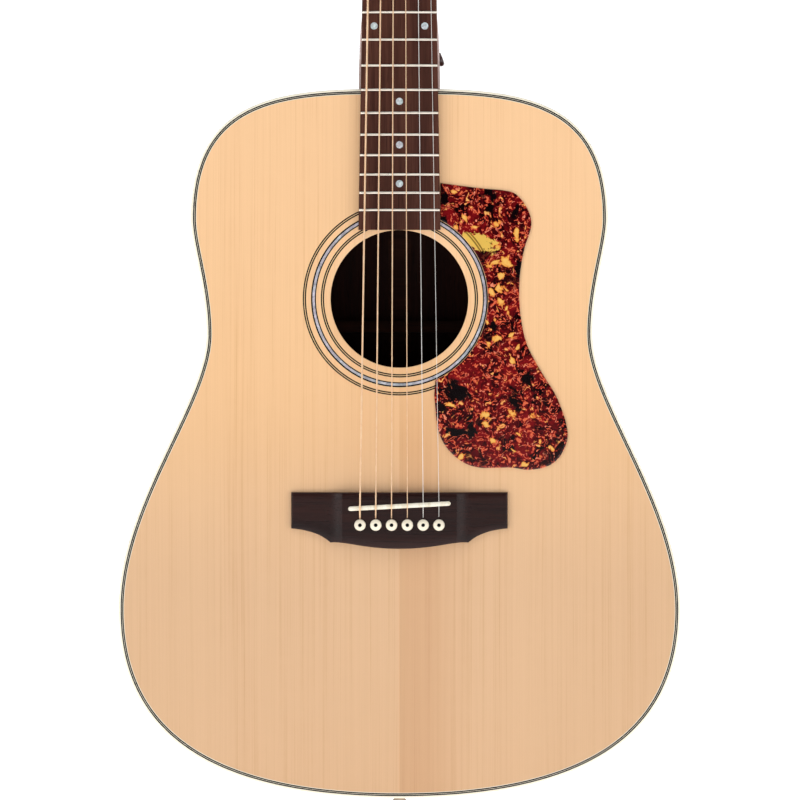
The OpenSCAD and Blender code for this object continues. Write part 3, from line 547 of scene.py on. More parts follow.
def bone(name):
    m, nt, b = new_mat(name)
    g = G(nt)
    streaks = g.noise(g.coord((250, 250, 40)), 1.0, 3.0, 0.6)
    spots = g.noise(g.coord(), 900, 2.0, 0.6)
    g.put(b.inputs["Base Color"], g.mix(g.maprange(spots, 0.62, 0.75, 0, 0.25), g.ramp(streaks, [(0.3, lin(232, 222, 196)), (0.6, lin(247, 241, 224)), (0.8, lin(252, 248, 236))]), lin(205, 190, 158)))
    g.put(b.inputs["Roughness"], g.maprange(streaks, 0.3, 0.7, 0.22, 0.34))
    g.put(b.inputs["Normal"], g.bump(spots, 0.08, 0.0001))
    b.inputs["Subsurface Weight"].default_value = 0.0
    return m


def pearl(name, tint=(226, 230, 232), scale=1.0):
    m, nt, b = new_mat(name)
    g = G(nt)
    warp = g.noise(g.coord(), 90 * scale, 3.0, 0.5, 0.0, True)
    v = g.vadd(g.coord((1, 1, 1)), g.vscale(warp, 0.006))
    n1 = g.noise(v, 240 * scale, 3.0, 0.6, 0.8)
    n2 = g.noise(v, 70 * scale, 2.0, 0.5, 0.5)
    c = g.ramp(n1, [(0.30, tuple(v_ * 0.55 for v_ in lin(*tint))), (0.45, tuple(v_ * 0.8 for v_ in lin(*tint))), (0.55, lin(*tint)), (0.75, tuple(min(1, v_ * 1.35) for v_ in lin(*tint)))])
    hue = g.ramp(n2, [(0.35, lin(205, 235, 225)), (0.5, lin(245, 240, 240)), (0.65, lin(240, 215, 225))])
    g.put(b.inputs["Base Color"], g.mix(0.35, c, g.mix(1.0, c, hue, "MULTIPLY")))
    g.put(b.inputs["Roughness"], g.maprange(n1, 0.3, 0.7, 0.15, 0.30))
    b.inputs["Metallic"].default_value = 0.0
    b.inputs["Coat Weight"].default_value = 0.7
    b.inputs["Coat Roughness"].default_value = 0.06
    b.inputs["Specular IOR Level"].default_value = 0.7
    return m


def metal(name, col, rough=0.22, brushed=0.0, axis="x", scratch=0.15, metallic=1.0):
    m, nt, b = new_mat(name)
    g = G(nt)
    sc = {"x": (40, 1500, 1500), "y": (1500, 40, 1500), "z": (1500, 1500, 40)}[axis]
    n1 = g.noise(g.coord(sc), 1.0, 2.0, 0.6)
    n2 = g.noise(g.coord(), 160, 3.0, 0.6)
    cc = lin(*col)
    g.put(b.inputs["Base Color"], g.ramp(g.math("ADD", g.math("MULTIPLY", n1, 0.5), g.math("MULTIPLY", n2, 0.5)), [(0.35, tuple(v * 0.82 for v in cc)), (0.6, cc)]))
    b.inputs["Metallic"].default_value = metallic
    g.put(b.inputs["Roughness"], g.maprange(g.math("ADD", g.math("MULTIPLY", n1, brushed), g.math("MULTIPLY", n2, 1 - brushed)), 0.35, 0.65, rough * (1 - scratch), rough * (1 + 2 * scratch)))
    g.put(b.inputs["Normal"], g.bump(n1, 0.05 + 0.15 * brushed, 0.00005))
    return m


def wound(name):
    """Bronze wrap wire: fine ridges across the string, from its length coordinate; the grooves between them are
    darkened as painted shade.
    """
    m, nt, b = new_mat(name)
    g = G(nt)
    u, v, _ = g.sep(g.node("ShaderNodeUVMap", uv_map="grain").outputs[0])
    ph = g.math("MULTIPLY", g.math("ADD", u, g.math("MULTIPLY", v, 0.00028)), 2 * math.pi / 0.00028)
    w = g.math("SINE", ph)
    n2 = g.noise(g.coord(), 200, 2.0, 0.6)
    # the grooves between the wraps are painted darker: painted shade
    g.put(b.inputs["Base Color"], g.mix(g.maprange(w, -1, -0.3, 0.55, 0.0), g.ramp(n2, [(0.3, lin(246, 206, 166)), (0.7, lin(255, 226, 190))]), lin(176, 116, 78)))
    b.inputs["Metallic"].default_value = 0.8
    g.put(b.inputs["Roughness"], g.maprange(n2, 0.3, 0.7, 0.42, 0.50))
    g.put(b.inputs["Normal"], g.bump(w, 0.3, 0.00005))
    return m


def tortoise(name):
    """Celluloid: dark crimson with short bright strands, black clouds, amber flecks and one clear patch. The amber, black and clear fields lie on the mesh."""
    m, nt, b = new_mat(name)
    g = G(nt)
    co = g.coord((1, 0.0, 1))
    def centred(v):
        n = g.node("ShaderNodeVectorMath", operation="SUBTRACT")
        g.put(n.inputs[0], v)
        n.inputs[1].default_value = (0.5, 0.5, 0.5)
        return n.outputs[0]
    w1 = centred(g.noise(co, 36.0, 2.0, 0.5, 0.0, True))
    w2 = centred(g.noise(co, 115.0, 1.0, 0.5, 0.0, True))
    v = g.vadd(g.vadd(co, g.vscale(w1, 0.034)), g.vscale(w2, 0.013))
    body = g.noise(v, 85.0, 4.0, 0.60, 0.4)
    c = g.ramp(body, [(0.36, lin(12, 1, 3)), (0.45, lin(50, 3, 7)), (0.53, lin(94, 6, 12)), (0.63, lin(120, 11, 17)), (0.76, lin(138, 20, 22))])
    def strands(c, scale, off, k, lo, hi, mscale, cols):
        n = g.noise(g.vadd(v, (off, 0.0, off * 1.7)), scale, 1.5, 0.45, 0.3)
        r = g.math("SUBTRACT", 1.0, g.math("MULTIPLY", g.math("ABSOLUTE", g.math("SUBTRACT", n, 0.5)), k), None, True)
        msk = g.maprange(g.noise(g.vadd(co, (off, 0.0, off)), mscale, 1.5, 0.5), lo, hi, 0.0, 1.0)
        q = g.math("MULTIPLY", r, msk)
        return g.mix(g.maprange(q, 0.15, 0.55, 0.0, 1.0), c, g.ramp(q, cols))
    red = [(0.15, lin(134, 14, 20)), (0.45, lin(172, 38, 32)), (0.80, lin(222, 106, 70))]
    pink = [(0.15, lin(140, 18, 24)), (0.45, lin(182, 52, 46)), (0.80, lin(232, 140, 108))]
    gold = [(0.15, lin(150, 34, 24)), (0.45, lin(214, 104, 54)), (0.80, lin(240, 176, 98))]
    c = strands(c, 185.0, 0.31, 13.0, 0.47, 0.58, 270.0, red)
    c = strands(c, 240.0, 0.77, 12.0, 0.52, 0.61, 320.0, pink)
    c = strands(c, 140.0, 0.11, 13.0, 0.57, 0.64, 180.0, gold)
    c = strands(c, 200.0, 1.37, 13.0, 0.51, 0.61, 260.0, red)
    dk = g.maprange(g.noise(g.vadd(v, (0.53, 0.0, 0.9)), 62.0, 2.0, 0.55), 0.59, 0.67, 0.0, 0.85)
    c = g.mix(dk, c, lin(18, 2, 5))
    at = lambda n_: g.node("ShaderNodeAttribute", attribute_name=n_).outputs["Fac"]
    wob = g.math("MULTIPLY", g.math("SUBTRACT", g.noise(v, 175.0, 3.0, 0.6), 0.5), 2.1)
    black = g.maprange(g.math("ADD", at("black"), wob), 0.40, 0.62, 0.0, 1.0)
    c = g.mix(black, c, lin(10, 2, 4))
    raw = g.math("ADD", at("amber"), g.math("MULTIPLY", wob, 1.25))
    am = g.maprange(raw, 0.52, 0.60, 0.0, 1.0)
    c = g.mix(am, c, g.ramp(raw, [(0.52, lin(180, 62, 30)), (0.64, lin(224, 130, 58)), (0.80, lin(234, 168, 78)), (1.05, lin(238, 186, 98))]))
    clear = g.maprange(g.math("ADD", at("clear"), g.math("MULTIPLY", wob, 0.9)), 0.40, 0.48, 0.0, 1.0)
    x, _, z = g.sep(g.coord())
    zz = g.math("ADD", z, HOLE_Z / 1000.0)
    rad = g.math("SQRT", g.math("ADD", g.math("MULTIPLY", x, x), g.math("MULTIPLY", zz, zz)))
    def band(r0):
        return g.math("LESS_THAN", g.math("ABSOLUTE", g.math("SUBTRACT", rad, r0)), 0.00055)
    under = g.math("MULTIPLY", g.math("MAXIMUM", band(0.0662), band(0.0679)), 0.72)
    c = g.mix(clear, c, g.mix(under, (0.88, 0.56, 0.11, 1.0), lin(84, 50, 16)))
    g.put(b.inputs["Base Color"], c)
    g.put(b.inputs["Roughness"], g.maprange(body, 0.3, 0.7, 0.10, 0.15))
    b.inputs["Specular IOR Level"].default_value = 0.22
    b.inputs["Coat Weight"].default_value = 0.2
    b.inputs["Coat Roughness"].default_value = 0.04
    g.put(b.inputs["Alpha"], g.math("SUBTRACT", 1.0, g.math("MULTIPLY", clear, 0.15)))
    return m


M_SPRUCE = spruce()
M_BRACE = spruce("brace_spruce", False, (214, 178, 130))
M_SIDE = hardwood("mahogany_side", (112, 58, 36), (78, 36, 24), (146, 84, 52), 0.55, "z", 0.9, 0.4, 1.0, "grain")
M_BACK = hardwood("mahogany_back", (112, 58, 36), (78, 36, 24), (146, 84, 52), 0.55, "z", 0.5, 0.4)
M_NECK = hardwood("mahogany_neck", (116, 62, 38), (86, 42, 27), (148, 88, 55), 0.5, "z", 0.12, 0.42, 1.0, None, 0.22)
M_INNER = hardwood("bare_mahogany", (98, 52, 36), (66, 32, 22), (126, 74, 50), 0.5, "z", 0.0, 0.7)
# painted shade: the inside of the back is near-black, far darker than the bare mahogany above, for the shade inside the
# body
M_INNER_SHADE = hardwood("inner_mahogany_painted_shade", (40, 17, 13), (24, 9, 8), (56, 27, 20), 0.5, "z", 0.0, 0.75, 1.0, None, 0.1, 1.0, 0.15)
# painted shade: the back braces and back strip are near-black, for the shade inside the body
M_INNER_STRIP_SHADE = hardwood("inner_strip_painted_shade", (48, 24, 17), (32, 14, 11), (64, 34, 24), 0.4, "x", 0.0, 0.75, 1.0, None, 0.1, 1.0, 0.15)
M_LINING = hardwood("lining_wood", (168, 118, 76), (138, 92, 58), (190, 142, 96), 0.3, "z", 0.0, 0.7)
M_BLOCK = hardwood("block_wood", (128, 76, 50), (98, 54, 34), (152, 96, 64), 0.4, "x", 0.0, 0.65)
M_MAPLE = hardwood("maple", (216, 184, 138), (196, 160, 112), (228, 200, 158), 0.1, "x", 0.0, 0.6)
M_BOARD = hardwood("rosewood_board", (68, 38, 30), (42, 21, 17), (96, 58, 46), 0.6, "z", 0.0, 0.46, 1.0, None, 0.1, 1.2, 0.12)
M_BRIDGE = hardwood("rosewood_bridge", (30, 10, 8), (18, 6, 5), (48, 21, 16), 0.6, "x", 0.0, 0.30, 1.0, None, 0.1, 1.1, 0.3)
M_VENEER = hardwood("rosewood_veneer", (66, 40, 34), (42, 24, 21), (94, 60, 50), 0.5, "z", 0.9, 0.35)
M_GRAFT = hardwood("rosewood_graft", (66, 40, 34), (42, 24, 21), (94, 60, 50), 0.5, "y", 0.9, 0.35)
M_BUTTON = hardwood("rosewood_button", (70, 42, 40), (46, 26, 26), (100, 62, 56), 0.3, "x", 0.8, 0.3)
M_IVORY = plastic("ivory_binding", (250, 243, 222), 0.22, 0.03, 220, 0.5)
M_PIN = plastic("ivory_pin", (250, 240, 218), 0.22, 0.04, 400, 0.4)
M_WHITE = plastic("white_line", (240, 232, 212), 0.3, 0.04, 500, 0.6)
M_BLACK = plastic("black_line", (9, 8, 8), 0.3, 0.15, 500, 0.0, 0.15)
M_TAN = plastic("maple_line", (226, 190, 142), 0.4, 0.08, 500, 0.4)
M_PEARL = pearl("pearl_ring", (196, 194, 204))
M_DOT = pearl("pearl_dot", (214, 222, 228), 1.6)
M_BONE = bone("bone")
M_TORT = tortoise("tortoiseshell")
M_FRET = metal("fret_wire", (250, 240, 226), 0.30, 0.5, "x", 0.15, 0.75)
# the darker fret side colour is painted shade on the flanks of each fret
M_FRET_SHADE = metal("fret_side_painted_shade", (120, 96, 84), 0.40, 0.5, "x")
M_STEEL = metal("string_steel", (252, 250, 246), 0.46, 0.6, "z", 0.15, 0.55)
M_WOUND = wound("wound_bronze")
M_CHROME = metal("nickel_plate", (172, 168, 162), 0.17, 0.2, "z", 0.3)
M_CHROME_D = metal("nickel_cog", (206, 196, 176), 0.24, 0.4, "y", 0.3)
M_BRASS = metal("ball_brass", (214, 178, 104), 0.25, 0.2, "x")
M_TRUSS = metal("truss_steel", (150, 150, 152), 0.4, 0.5, "z")

# ---------------------------------------------------------------- camera
cam_d = bpy.data.cameras.new("camera")
cam = bpy.data.objects.new("camera", cam_d)
scene.collection.objects.link(cam)
cam.location = (0.0004, -3.0, -0.5773)
cam.rotation_euler = (math.pi / 2, 0, 0)
cam_d.sensor_width = 36.0
cam_d.lens = 191.57
cam_d.clip_start, cam_d.clip_end = 0.05, 60
scene.camera = cam

# ---------------------------------------------------------------- body shell
hole = np.array([0.0, -HOLE_Z])


def round_at(pts, r):
    d = pts - hole
    d /= np.linalg.norm(d, axis=1)[:, None]
    return hole + d * r


def build_soundboard():
    outer = full(-BIND_T - PURF_W)
    ledge = full(-BIND_T)
    rows = []
    for k in range(5):
        t = math.pi / 2 * k / 4
        rows.append(to3(round_at(outer, HOLE_R + 0.4 * (1 - math.cos(t))), 0.4 * (1 - math.sin(t))))
    inner0 = round_at(outer, HOLE_R + 0.4)
    for f in np.linspace(0, 1, 16)[1:]:
        rows.append(to3(inner0 + (outer - inner0) * f, 0.0))
    rows.append(to3(outer, 1.4))
    rows.append(to3(ledge, 1.4))
    rows.append(to3(ledge, TOP_T))
    inner1 = round_at(outer, HOLE_R)
    for f in np.linspace(1, 0, 10)[1:]:
        rows.append(to3(inner1 + (ledge - inner1) * f, TOP_T))
    v, f = rings(rows, False, False, True)
    ob = make("soundboard_spruce", v, f, M_SPRUCE, "guitar", ["soundboard"], 30)
    return fix_normals(ob)


build_soundboard()


def outline_ring(name, profile, mat, replaces, sharp=40, cut_neck=False):
    """Sweeps a closed profile of (offset, y) pairs round the body; y may be a function of x and z."""
    rows = []
    for o, y in profile:
        p = full(o)
        yy = y(p[:, 0], p[:, 1]) if callable(y) else y
        rows.append(to3(p, yy))
    v, f = rings(rows, False, False, True)
    return fix_normals(make(name, v, f, mat, "guitar", replaces, sharp))


r_ = 0.9
arcp = [(-r_ + r_ * math.sin(t), r_ - r_ * math.cos(t)) for t in np.linspace(0, math.pi / 2, 7)]
outline_ring("top_binding_ivory", [(-BIND_T, 0.0)] + arcp + [(0.0, BIND_H), (-BIND_T, BIND_H)], M_IVORY, ["top_binding"])
bk = lambda d: (lambda x, z: y_back(x, z, d))
arcb = [(-r_ + r_ * math.sin(t), bk(r_ - r_ * math.cos(t))) for t in np.linspace(0, math.pi / 2, 7)]
outline_ring("back_binding_ivory", [(-BIND_T, bk(0.0))] + arcb + [(0.0, bk(BIND_H)), (-BIND_T, bk(BIND_H))], M_IVORY, ["back_binding"])
e = 0.02
outline_ring("purfling_black", [(-1.5, -e), (-2.38, -e), (-2.38, 1.2), (-1.5, 1.2)], M_BLACK, ["top_purfling"])
outline_ring("purfling_white", [(-2.38, -e), (-2.62, -e), (-2.62, 1.2), (-2.38, 1.2)], M_WHITE, ["top_purfling"])
outline_ring("purfling_black_inner", [(-2.62, -e), (-3.5, -e), (-3.5, 1.2), (-2.62, 1.2)], M_BLACK, ["top_purfling"])
outline_ring("purfling_maple", [(-3.5, -e), (-3.9, -e), (-3.9, 1.2), (-3.5, 1.2)], M_WHITE, ["top_purfling"])
# a dark line beside the binding on the back, as on the top
outline_ring("back_line", [(-1.5, bk(-0.015)), (-2.1, bk(-0.015)), (-2.1, bk(0.9)), (-1.5, bk(0.9))], M_BLACK, ["back"])


def build_side(s, name, node):
    n = len(_pts)
    prof = [(0.0, BIND_H), (0.0, bk(BIND_H)), (-BIND_T, bk(BIND_H)), (-BIND_T, bk(BACK_T)), (-SIDE_T, bk(BACK_T)), (-SIDE_T, TOP_T), (-BIND_T, TOP_T), (-BIND_T, BIND_H)]
    cols = []
    for o, y in prof:
        p = half(o, s)
        yy = y(p[:, 0], p[:, 1]) if callable(y) else np.full(n, y)
        cols.append(to3(p, yy))
    C = len(prof)
    v = np.stack(cols, 1).reshape(-1, 3)
    f = grid_faces(n, C, False, True)
    f += [tuple(range(C)), tuple((n - 1) * C + k for k in range(C))[::-1]]
    uv = []
    for q in f:
        for i in q:
            uv.append((arc[i // C] * MM + 0.05 * (s + 1), v[i][1] * MM + (0.3 if i % C in (4, 5) else 0.0)))
    ob = make(name, v, f, M_SIDE, "guitar", [node], 40, None, uv)
    return fix_normals(ob)


build_side(1, "side_treble_wood", "side_treble")
build_side(-1, "side_bass_wood", "side_bass")


def build_back():
    cen = np.array([0.0, -600.0])
    out = full(-BIND_T)
    rows = []
    fr = np.linspace(0.0, 1, 30)
    def lay(f, d):
        p = cen + (out - cen) * f
        return to3(p, y_back(p[:, 0], p[:, 1], d))
    for f in fr[1:]:
        rows.append(lay(f, 0.0))
    for f in fr[1:][::-1]:
        rows.append(lay(f, BACK_T))
    v, f = rings(rows, False)
    C = len(out)
    c0, c1 = len(v), len(v) + 1
    v = np.vstack([v, to3([cen], y_back(cen[0], cen[1], 0.0)), to3([cen], y_back(cen[0], cen[1], BACK_T))])
    R = len(rows)
    for j in range(C):
        j2 = (j + 1) % C
        f.append((c0, j2, j))
        f.append((c1, (R - 1) * C + j, (R - 1) * C + j2))
    # the faces inside the body get the near-black wood, which is painted shade
    inner_shade_faces = [0] * len(f)
    for k, q in enumerate(f):
        ks = [i for i in q]
        if min(ks) >= 29 * C and max(ks) < R * C or c1 in ks:
            inner_shade_faces[k] = 1
    ob = make("back_wood", v, f, [M_BACK, M_INNER_SHADE], "guitar", ["back"], 30, inner_shade_faces)
    return fix_normals(ob)


build_back()


def ring_inlay(name, r0, r1, mat, replaces, lift=0.02, seg=360):
    pr = [(r0, -lift), (r1, -lift), (r1, 1.1), (r0, 1.1)]
    a = np.linspace(0, 2 * math.pi, seg, endpoint=False)
    rows = [np.stack([r * np.cos(a), np.full(seg, y), -HOLE_Z + r * np.sin(a)], 1) for r, y in pr]
    v, f = rings(rows, False, False, True)
    return fix_normals(make(name, v, f, mat, "guitar", replaces, 40))


for nm, r0, r1, mt in [("rosette_inner_black", 53.1, 54.0, M_BLACK), ("rosette_inner_white", 54.0, 54.5, M_TAN), ("rosette_inner_black2", 54.5, 55.4, M_BLACK),
                       ("rosette_edge_black", 58.8, 59.6, M_BLACK), ("rosette_edge_black2", 61.3, 62.3, M_BLACK),
                       ("rosette_outer_black", 65.8, 66.7, M_BLACK), ("rosette_outer_white", 66.7, 67.2, M_TAN), ("rosette_outer_black2", 67.2, 68.1, M_BLACK)]:
    ring_inlay(nm, r0, r1, mt, ["rosette_rings"])
ring_inlay("rosette_pearl_ring", 59.6, 61.3, M_PEARL, ["rosette_pearl"])

# ---------------------------------------------------------------- pickguard
GUARD = [(28.9, -424.5), (55.5, -428), (72, -429.5), (80.5, -431.5), (87, -437.5), (91.5, -445.5), (93, -453), (91.5, -460.5), (88, -471), (85, -488.5), (84.5, -507),
         (86.5, -525), (91, -541), (101.5, -560), (109, -572), (114, -583), (117.5, -594), (118.5, -603.5), (116, -612), (111, -619.5), (103, -624.5), (91, -626.5), (79.5, -625), (68, -625), (57, -625),
         (47.5, -622.5), (38.5, -616.5), (31, -607.5), (27, -597), (25.5, -585), (24.5, -574)]


def cat(a, b, c, d, t):
    return 0.5 * (2 * b + (c - a) * t + (2 * a - 5 * b + 4 * c - d) * t * t + (3 * b - a - 3 * c + d) * t ** 3)


gp = [np.array(q, float) for q in GUARD]
pts = [gp[0]]
for i in range(1, len(gp) - 2):
    for t in np.linspace(0, 1, 8, endpoint=False):
        pts.append(cat(gp[i - 1], gp[i], gp[i + 1], gp[i + 2], t))
pts += [gp[-2], (gp[-2] + gp[-1]) / 2, gp[-1]]
for a in np.radians(np.arange(-66, 62.1, 2)):
    pts.append(np.array([62.6 * math.cos(a), -HOLE_Z + 62.6 * math.sin(a)]))
pts.append(np.array([28.9, -HOLE_Z + math.sqrt(62.6 ** 2 - 28.9 ** 2)]))
AMBER = [(38.2, -431.8, 3.2, 2.8, 0), (45.7, -450.4, 5.5, 2.2, 0), (69.8, -453.3, 2.6, 6.0, -35), (82.7, -460.5, 2.0, 7.5, 8), (38.2, -455.4, 3.0, 1.8, 0), (66.9, -468.8, 6.0, 3.2, 0), (67.6, -480.7, 5.6, 3.0, 0),
         (75.8, -479.6, 2.6, 5.5, 25), (72.0, -489.0, 5.0, 2.8, 40), (71.5, -498.4, 6.0, 3.8, 0), (63.8, -502.2, 2.0, 3.6, 0), (70.5, -509.2, 4.6, 2.6, 0), (77.0, -513.0, 2.0, 4.6, 20), (67.6, -520.2, 2.6, 2.6, 0),
         (61.8, -522.3, 3.4, 2.0, -30), (52.0, -455.0, 4.6, 1.8, -10), (68.8, -533.9, 4.8, 2.6, 30), (78.2, -533.2, 2.6, 3.2, 0), (62.7, -537.3, 2.6, 2.8, 0), (78.9, -549.4, 3.2, 3.0, 0), (36.0, -581.1, 5.0, 2.0, -35),
         (79.5, -587.2, 4.2, 3.0, -20), (60.0, -589.2, 4.2, 2.6, 0), (61.4, -594.8, 4.6, 2.0, -20), (82.2, -601.0, 4.2, 1.9, -25), (99.1, -604.7, 1.3, 6.5, 0), (107.5, -612.8, 2.4, 2.4, 0), (42.5, -617.5, 3.6, 2.2, 20),
         (89.0, -622.6, 3.2, 1.6, 20), (80.2, -613.2, 3.4, 1.2, -25), (65.4, -606.0, 2.6, 2.6, 0), (82.5, -540.0, 1.2, 3.4, 0), (94.0, -588.5, 2.0, 2.2, 0)]
CLEAR = [(57.0, -465.8, 13.0, 6.4, -20)]
BLACK = [(41.1, -571.0, 10.5, 7.5, -35), (30.3, -582.4, 6.0, 5.0, 0), (51.2, -596.5, 5.6, 10.0, 0), (39.8, -599.8, 8.5, 3.6, 0), (80.9, -579.4, 4.8, 8.0, 15), (91.0, -562.2, 4.6, 4.6, 0), (65.1, -432.5, 5.2, 4.6, 0),
         (80.6, -445.0, 3.6, 6.4, -30), (84.2, -483.5, 4.6, 9.0, 0), (30.9, -434.5, 4.0, 5.0, 0), (62.6, -442.0, 4.4, 3.6, 0), (79.0, -612.0, 5.0, 3.0, 0), (66.0, -526.0, 2.6, 6.0, 0), (100.0, -552.0, 3.0, 3.0, 0), (31.0, -450.0, 3.6, 3.6, 0)]


def field(pts_, blobs, bend=2.6):
    from mathutils import noise as mn
    wv = np.array([mn.noise_vector((x * 0.11, 3.7, z * 0.11)) for x, _, z in pts_]) * bend + np.array([mn.noise_vector((x * 0.3, 9.1, z * 0.3)) for x, _, z in pts_]) * bend * 0.35
    out = np.full(len(pts_), -0.5)
    for cx, cz, rx, rz, deg in blobs:
        a_ = math.radians(deg)
        dx, dz = pts_[:, 0] - cx + wv[:, 0], pts_[:, 2] - cz + wv[:, 2]
        u_, w_ = dx * math.cos(a_) + dz * math.sin(a_), -dx * math.sin(a_) + dz * math.cos(a_)
        out = np.maximum(out, 1.15 - 0.8 * np.sqrt((u_ / rx) ** 2 + (w_ / rz) ** 2))
    return np.clip(out, -0.5, 1.2)


from mathutils.geometry import delaunay_2d_cdt
v, f = plate(pts, -1.3, -0.005, 0.45, 5, False)
m_ = len(pts)
nr = len(v) // m_
side_f = [q for q in f if len(q) == 4]
rim = v[:m_]
lo_, hi_ = rim[:, [0, 2]].min(0), rim[:, [0, 2]].max(0)
gx, gz = np.meshgrid(np.arange(lo_[0], hi_[0], 1.1), np.arange(lo_[1], hi_[1], 1.1))
inner = np.stack([gx.ravel(), gz.ravel()], 1)
dmin = np.min(np.hypot(inner[:, None, 0] - rim[None, :, 0], inner[:, None, 1] - rim[None, :, 2]), 1)
poly = rim[:, [0, 2]]
nx_, nz_ = np.roll(poly, -1, 0)[:, 0], np.roll(poly, -1, 0)[:, 1]
inside = np.zeros(len(inner), bool)
for k in range(m_):
    x1, z1, x2, z2 = poly[k, 0], poly[k, 1], nx_[k], nz_[k]
    if z1 != z2:
        cond = ((z1 > inner[:, 1]) != (z2 > inner[:, 1])) & (inner[:, 0] < (x2 - x1) * (inner[:, 1] - z1) / (z2 - z1) + x1)
        inside ^= cond
inner = inner[inside & (dmin > 0.6)]
res = delaunay_2d_cdt([Vector((float(a_), float(b_))) for a_, b_ in np.vstack([poly, inner])], [(k, (k + 1) % m_) for k in range(m_)], [], 1, 1e-6)
cv, cf, origin = res[0], res[2], res[3]
base_n = len(v)
idx = []
extra = []
for k, q in enumerate(cv):
    ids = [o_ for o_ in origin[k] if o_ < m_]
    if ids:
        idx.append(ids[0])
    else:
        idx.append(base_n + len(extra))
        extra.append((q[0], -1.3, q[1]))
v = np.vstack([v, np.array(extra)])
f = side_f + [tuple(idx[i] for i in q) for q in cf] + [tuple((nr - 1) * m_ + k for k in range(m_))[::-1]]
f = [q for q in f if len(set(q)) == len(q)]
guard = make("pickguard_shell", v, f, M_TORT, "guitar", ["pickguard"], 40)
fix_normals(guard)
gv = np.array([q.co[:] for q in guard.data.vertices]) * 1000
for nm, bl in (("amber", AMBER), ("clear", CLEAR), ("black", BLACK)):
    at = guard.data.attributes.new(nm, "FLOAT", "POINT")
    at.data.foreach_set("value", field(gv, bl).astype(np.float32))

# ---------------------------------------------------------------- fingerboard, frets, dots, nut
def board_hw(z):
    return NUT_W / 2 - 0.0161 * z


def crown(x):
    return -(BOARD_T - (BOARD_R - np.sqrt(BOARD_R ** 2 - np.asarray(x, float) ** 2)))


def fret_z(n):
    return -SCALE * (1 - 2 ** (-n / 12))


zs = np.concatenate([[0.0, -0.35], np.linspace(-6, BOARD_END + 6, 60), [BOARD_END + 0.35, BOARD_END]])
rows = []
for i, z in enumerate(zs):
    w = board_hw(z)
    ins = 0.35 if i in (0, len(zs) - 1) else 0.0
    xs = np.linspace(-(w - 0.5), w - 0.5, 33)
    top = [(x, float(crown(x)) + ins) for x in xs]
    rr = 0.5
    left = [(-w + rr - rr * math.sin(t), float(crown(w)) + rr - rr * math.cos(t) + ins) for t in np.linspace(0, math.pi / 2, 5)][1:]
    right = [(w - rr + rr * math.sin(t), float(crown(w)) + rr - rr * math.cos(t) + ins) for t in np.linspace(0, math.pi / 2, 5)][1:]
    prof = [(-w, 0.0)] + left[::-1] + top + right + [(w, 0.0)]
    rows.append(np.array([(x, y, z) for x, y in prof]))
v, f = rings(rows, True)
fix_normals(make("fingerboard_wood", v, f, M_BOARD, "guitar", ["fingerboard"], 40))

parts = []
for n in range(1, 21):
    z = fret_z(n)
    w = board_hw(z) - 0.15
    st_ = np.concatenate([[-w, -w + 0.35, -w + 0.8, -w + 1.4], np.linspace(-w + 2, w - 2, 25), [w - 1.4, w - 0.8, w - 0.35, w]])
    rows = []
    for x in st_:
        d = w - abs(x)
        k = 0.22 + 0.78 * min(1.0, d / 1.1) ** 0.7
        yb = float(crown(x))
        a = np.linspace(0, math.pi, 13)
        rows.append(np.array([(x, yb + 0.05 - (FRET_H * k) * math.sin(t) ** 0.9 - 0.0, z + 0.98 * math.cos(t)) for t in a] + [(x, yb + 1.4, z - 0.25), (x, yb + 1.4, z + 0.25)]))
    parts.append(rings(rows, True))
v, f = merge(parts)
fz = np.array([fret_z(n) for n in range(1, 21)])
# the faces off each fret's crown get the darker fret side colour, which is painted shade
fm = [int(np.min(np.abs(fz - np.mean([v[i][2] for i in q]))) > 0.62) for q in f]
fix_normals(make("fret_wires", v, f, [M_FRET, M_FRET_SHADE], "guitar", ["frets"], 50, fm))

parts = []
for n, x0 in [(3, 0), (5, 0), (7, 0), (9, 0), (12, -17.8), (12, 17.8), (15, 0), (17, 0), (19, 0)]:
    zc = (fret_z(n) + fret_z(n - 1)) / 2
    vs, fs = lathe([(0, -0.9), (2.5, -0.9), (2.5, 0.0), (2.42, 0.03), (1.2, 0.03), (0, 0.03)], 48)
    w = [(x0 + a, float(crown(x0 + a)) - c, zc + b) for a, b, c in vs]
    parts.append((np.array(w), fs))
v, f = merge(parts)
fix_normals(make("pearl_dots", v, f, M_DOT, "guitar", ["fret_markers"], 50))

parts = []
for n in (3, 5, 7, 9, 12, 15, 17, 19):
    for k in ([-1, 1] if n == 12 else [0]):
        zc = (fret_z(n) + fret_z(n - 1)) / 2 + 4 * k
        vs, fs = lathe([(0, -1.0), (1.0, -1.0), (1.0, 0.0), (0.95, 0.03), (0, 0.04)], 32)
        parts.append((np.array([(-board_hw(zc) - c, -3 + a, zc + b) for a, b, c in vs]), fs))
v, f = merge(parts)
fix_normals(make("side_dot_inlays", v, f, M_IVORY, "guitar", ["side_dots"], 50))


def x_nut(i):
    return (3.5 - i) * GAP_N


def x_pin(i):
    return (3.5 - i) * GAP_B


def z_saddle(x):
    return -651.9 + 0.0527 * x


def y_saddle(x):
    return -(BOARD_T + FRET_H + 3.5 - x * x / (2 * BOARD_R) - 0.018 * x)


def y_nut(i):
    return float(-(BOARD_T - x_nut(i) ** 2 / (2 * BOARD_R))) - FRET_H - 0.45 - STR_R[i - 1]


def head_hw(z):
    return 31.0 + 6.5 * (z - 25) / 152


def row(i):
    return 6 - i if i > 3 else i - 1


def sgn(i):
    return -1 if i > 3 else 1


def post_x(i):
    return head_hw(ROWS[row(i)]) - 12


def on_head(p):
    p = np.asarray(p, float)
    single = p.ndim == 1
    p = np.atleast_2d(p)
    q = np.stack([p[:, 0], p[:, 1] * ct + p[:, 2] * st, 5 - p[:, 1] * st + p[:, 2] * ct], 1)
    return q[0] if single else q


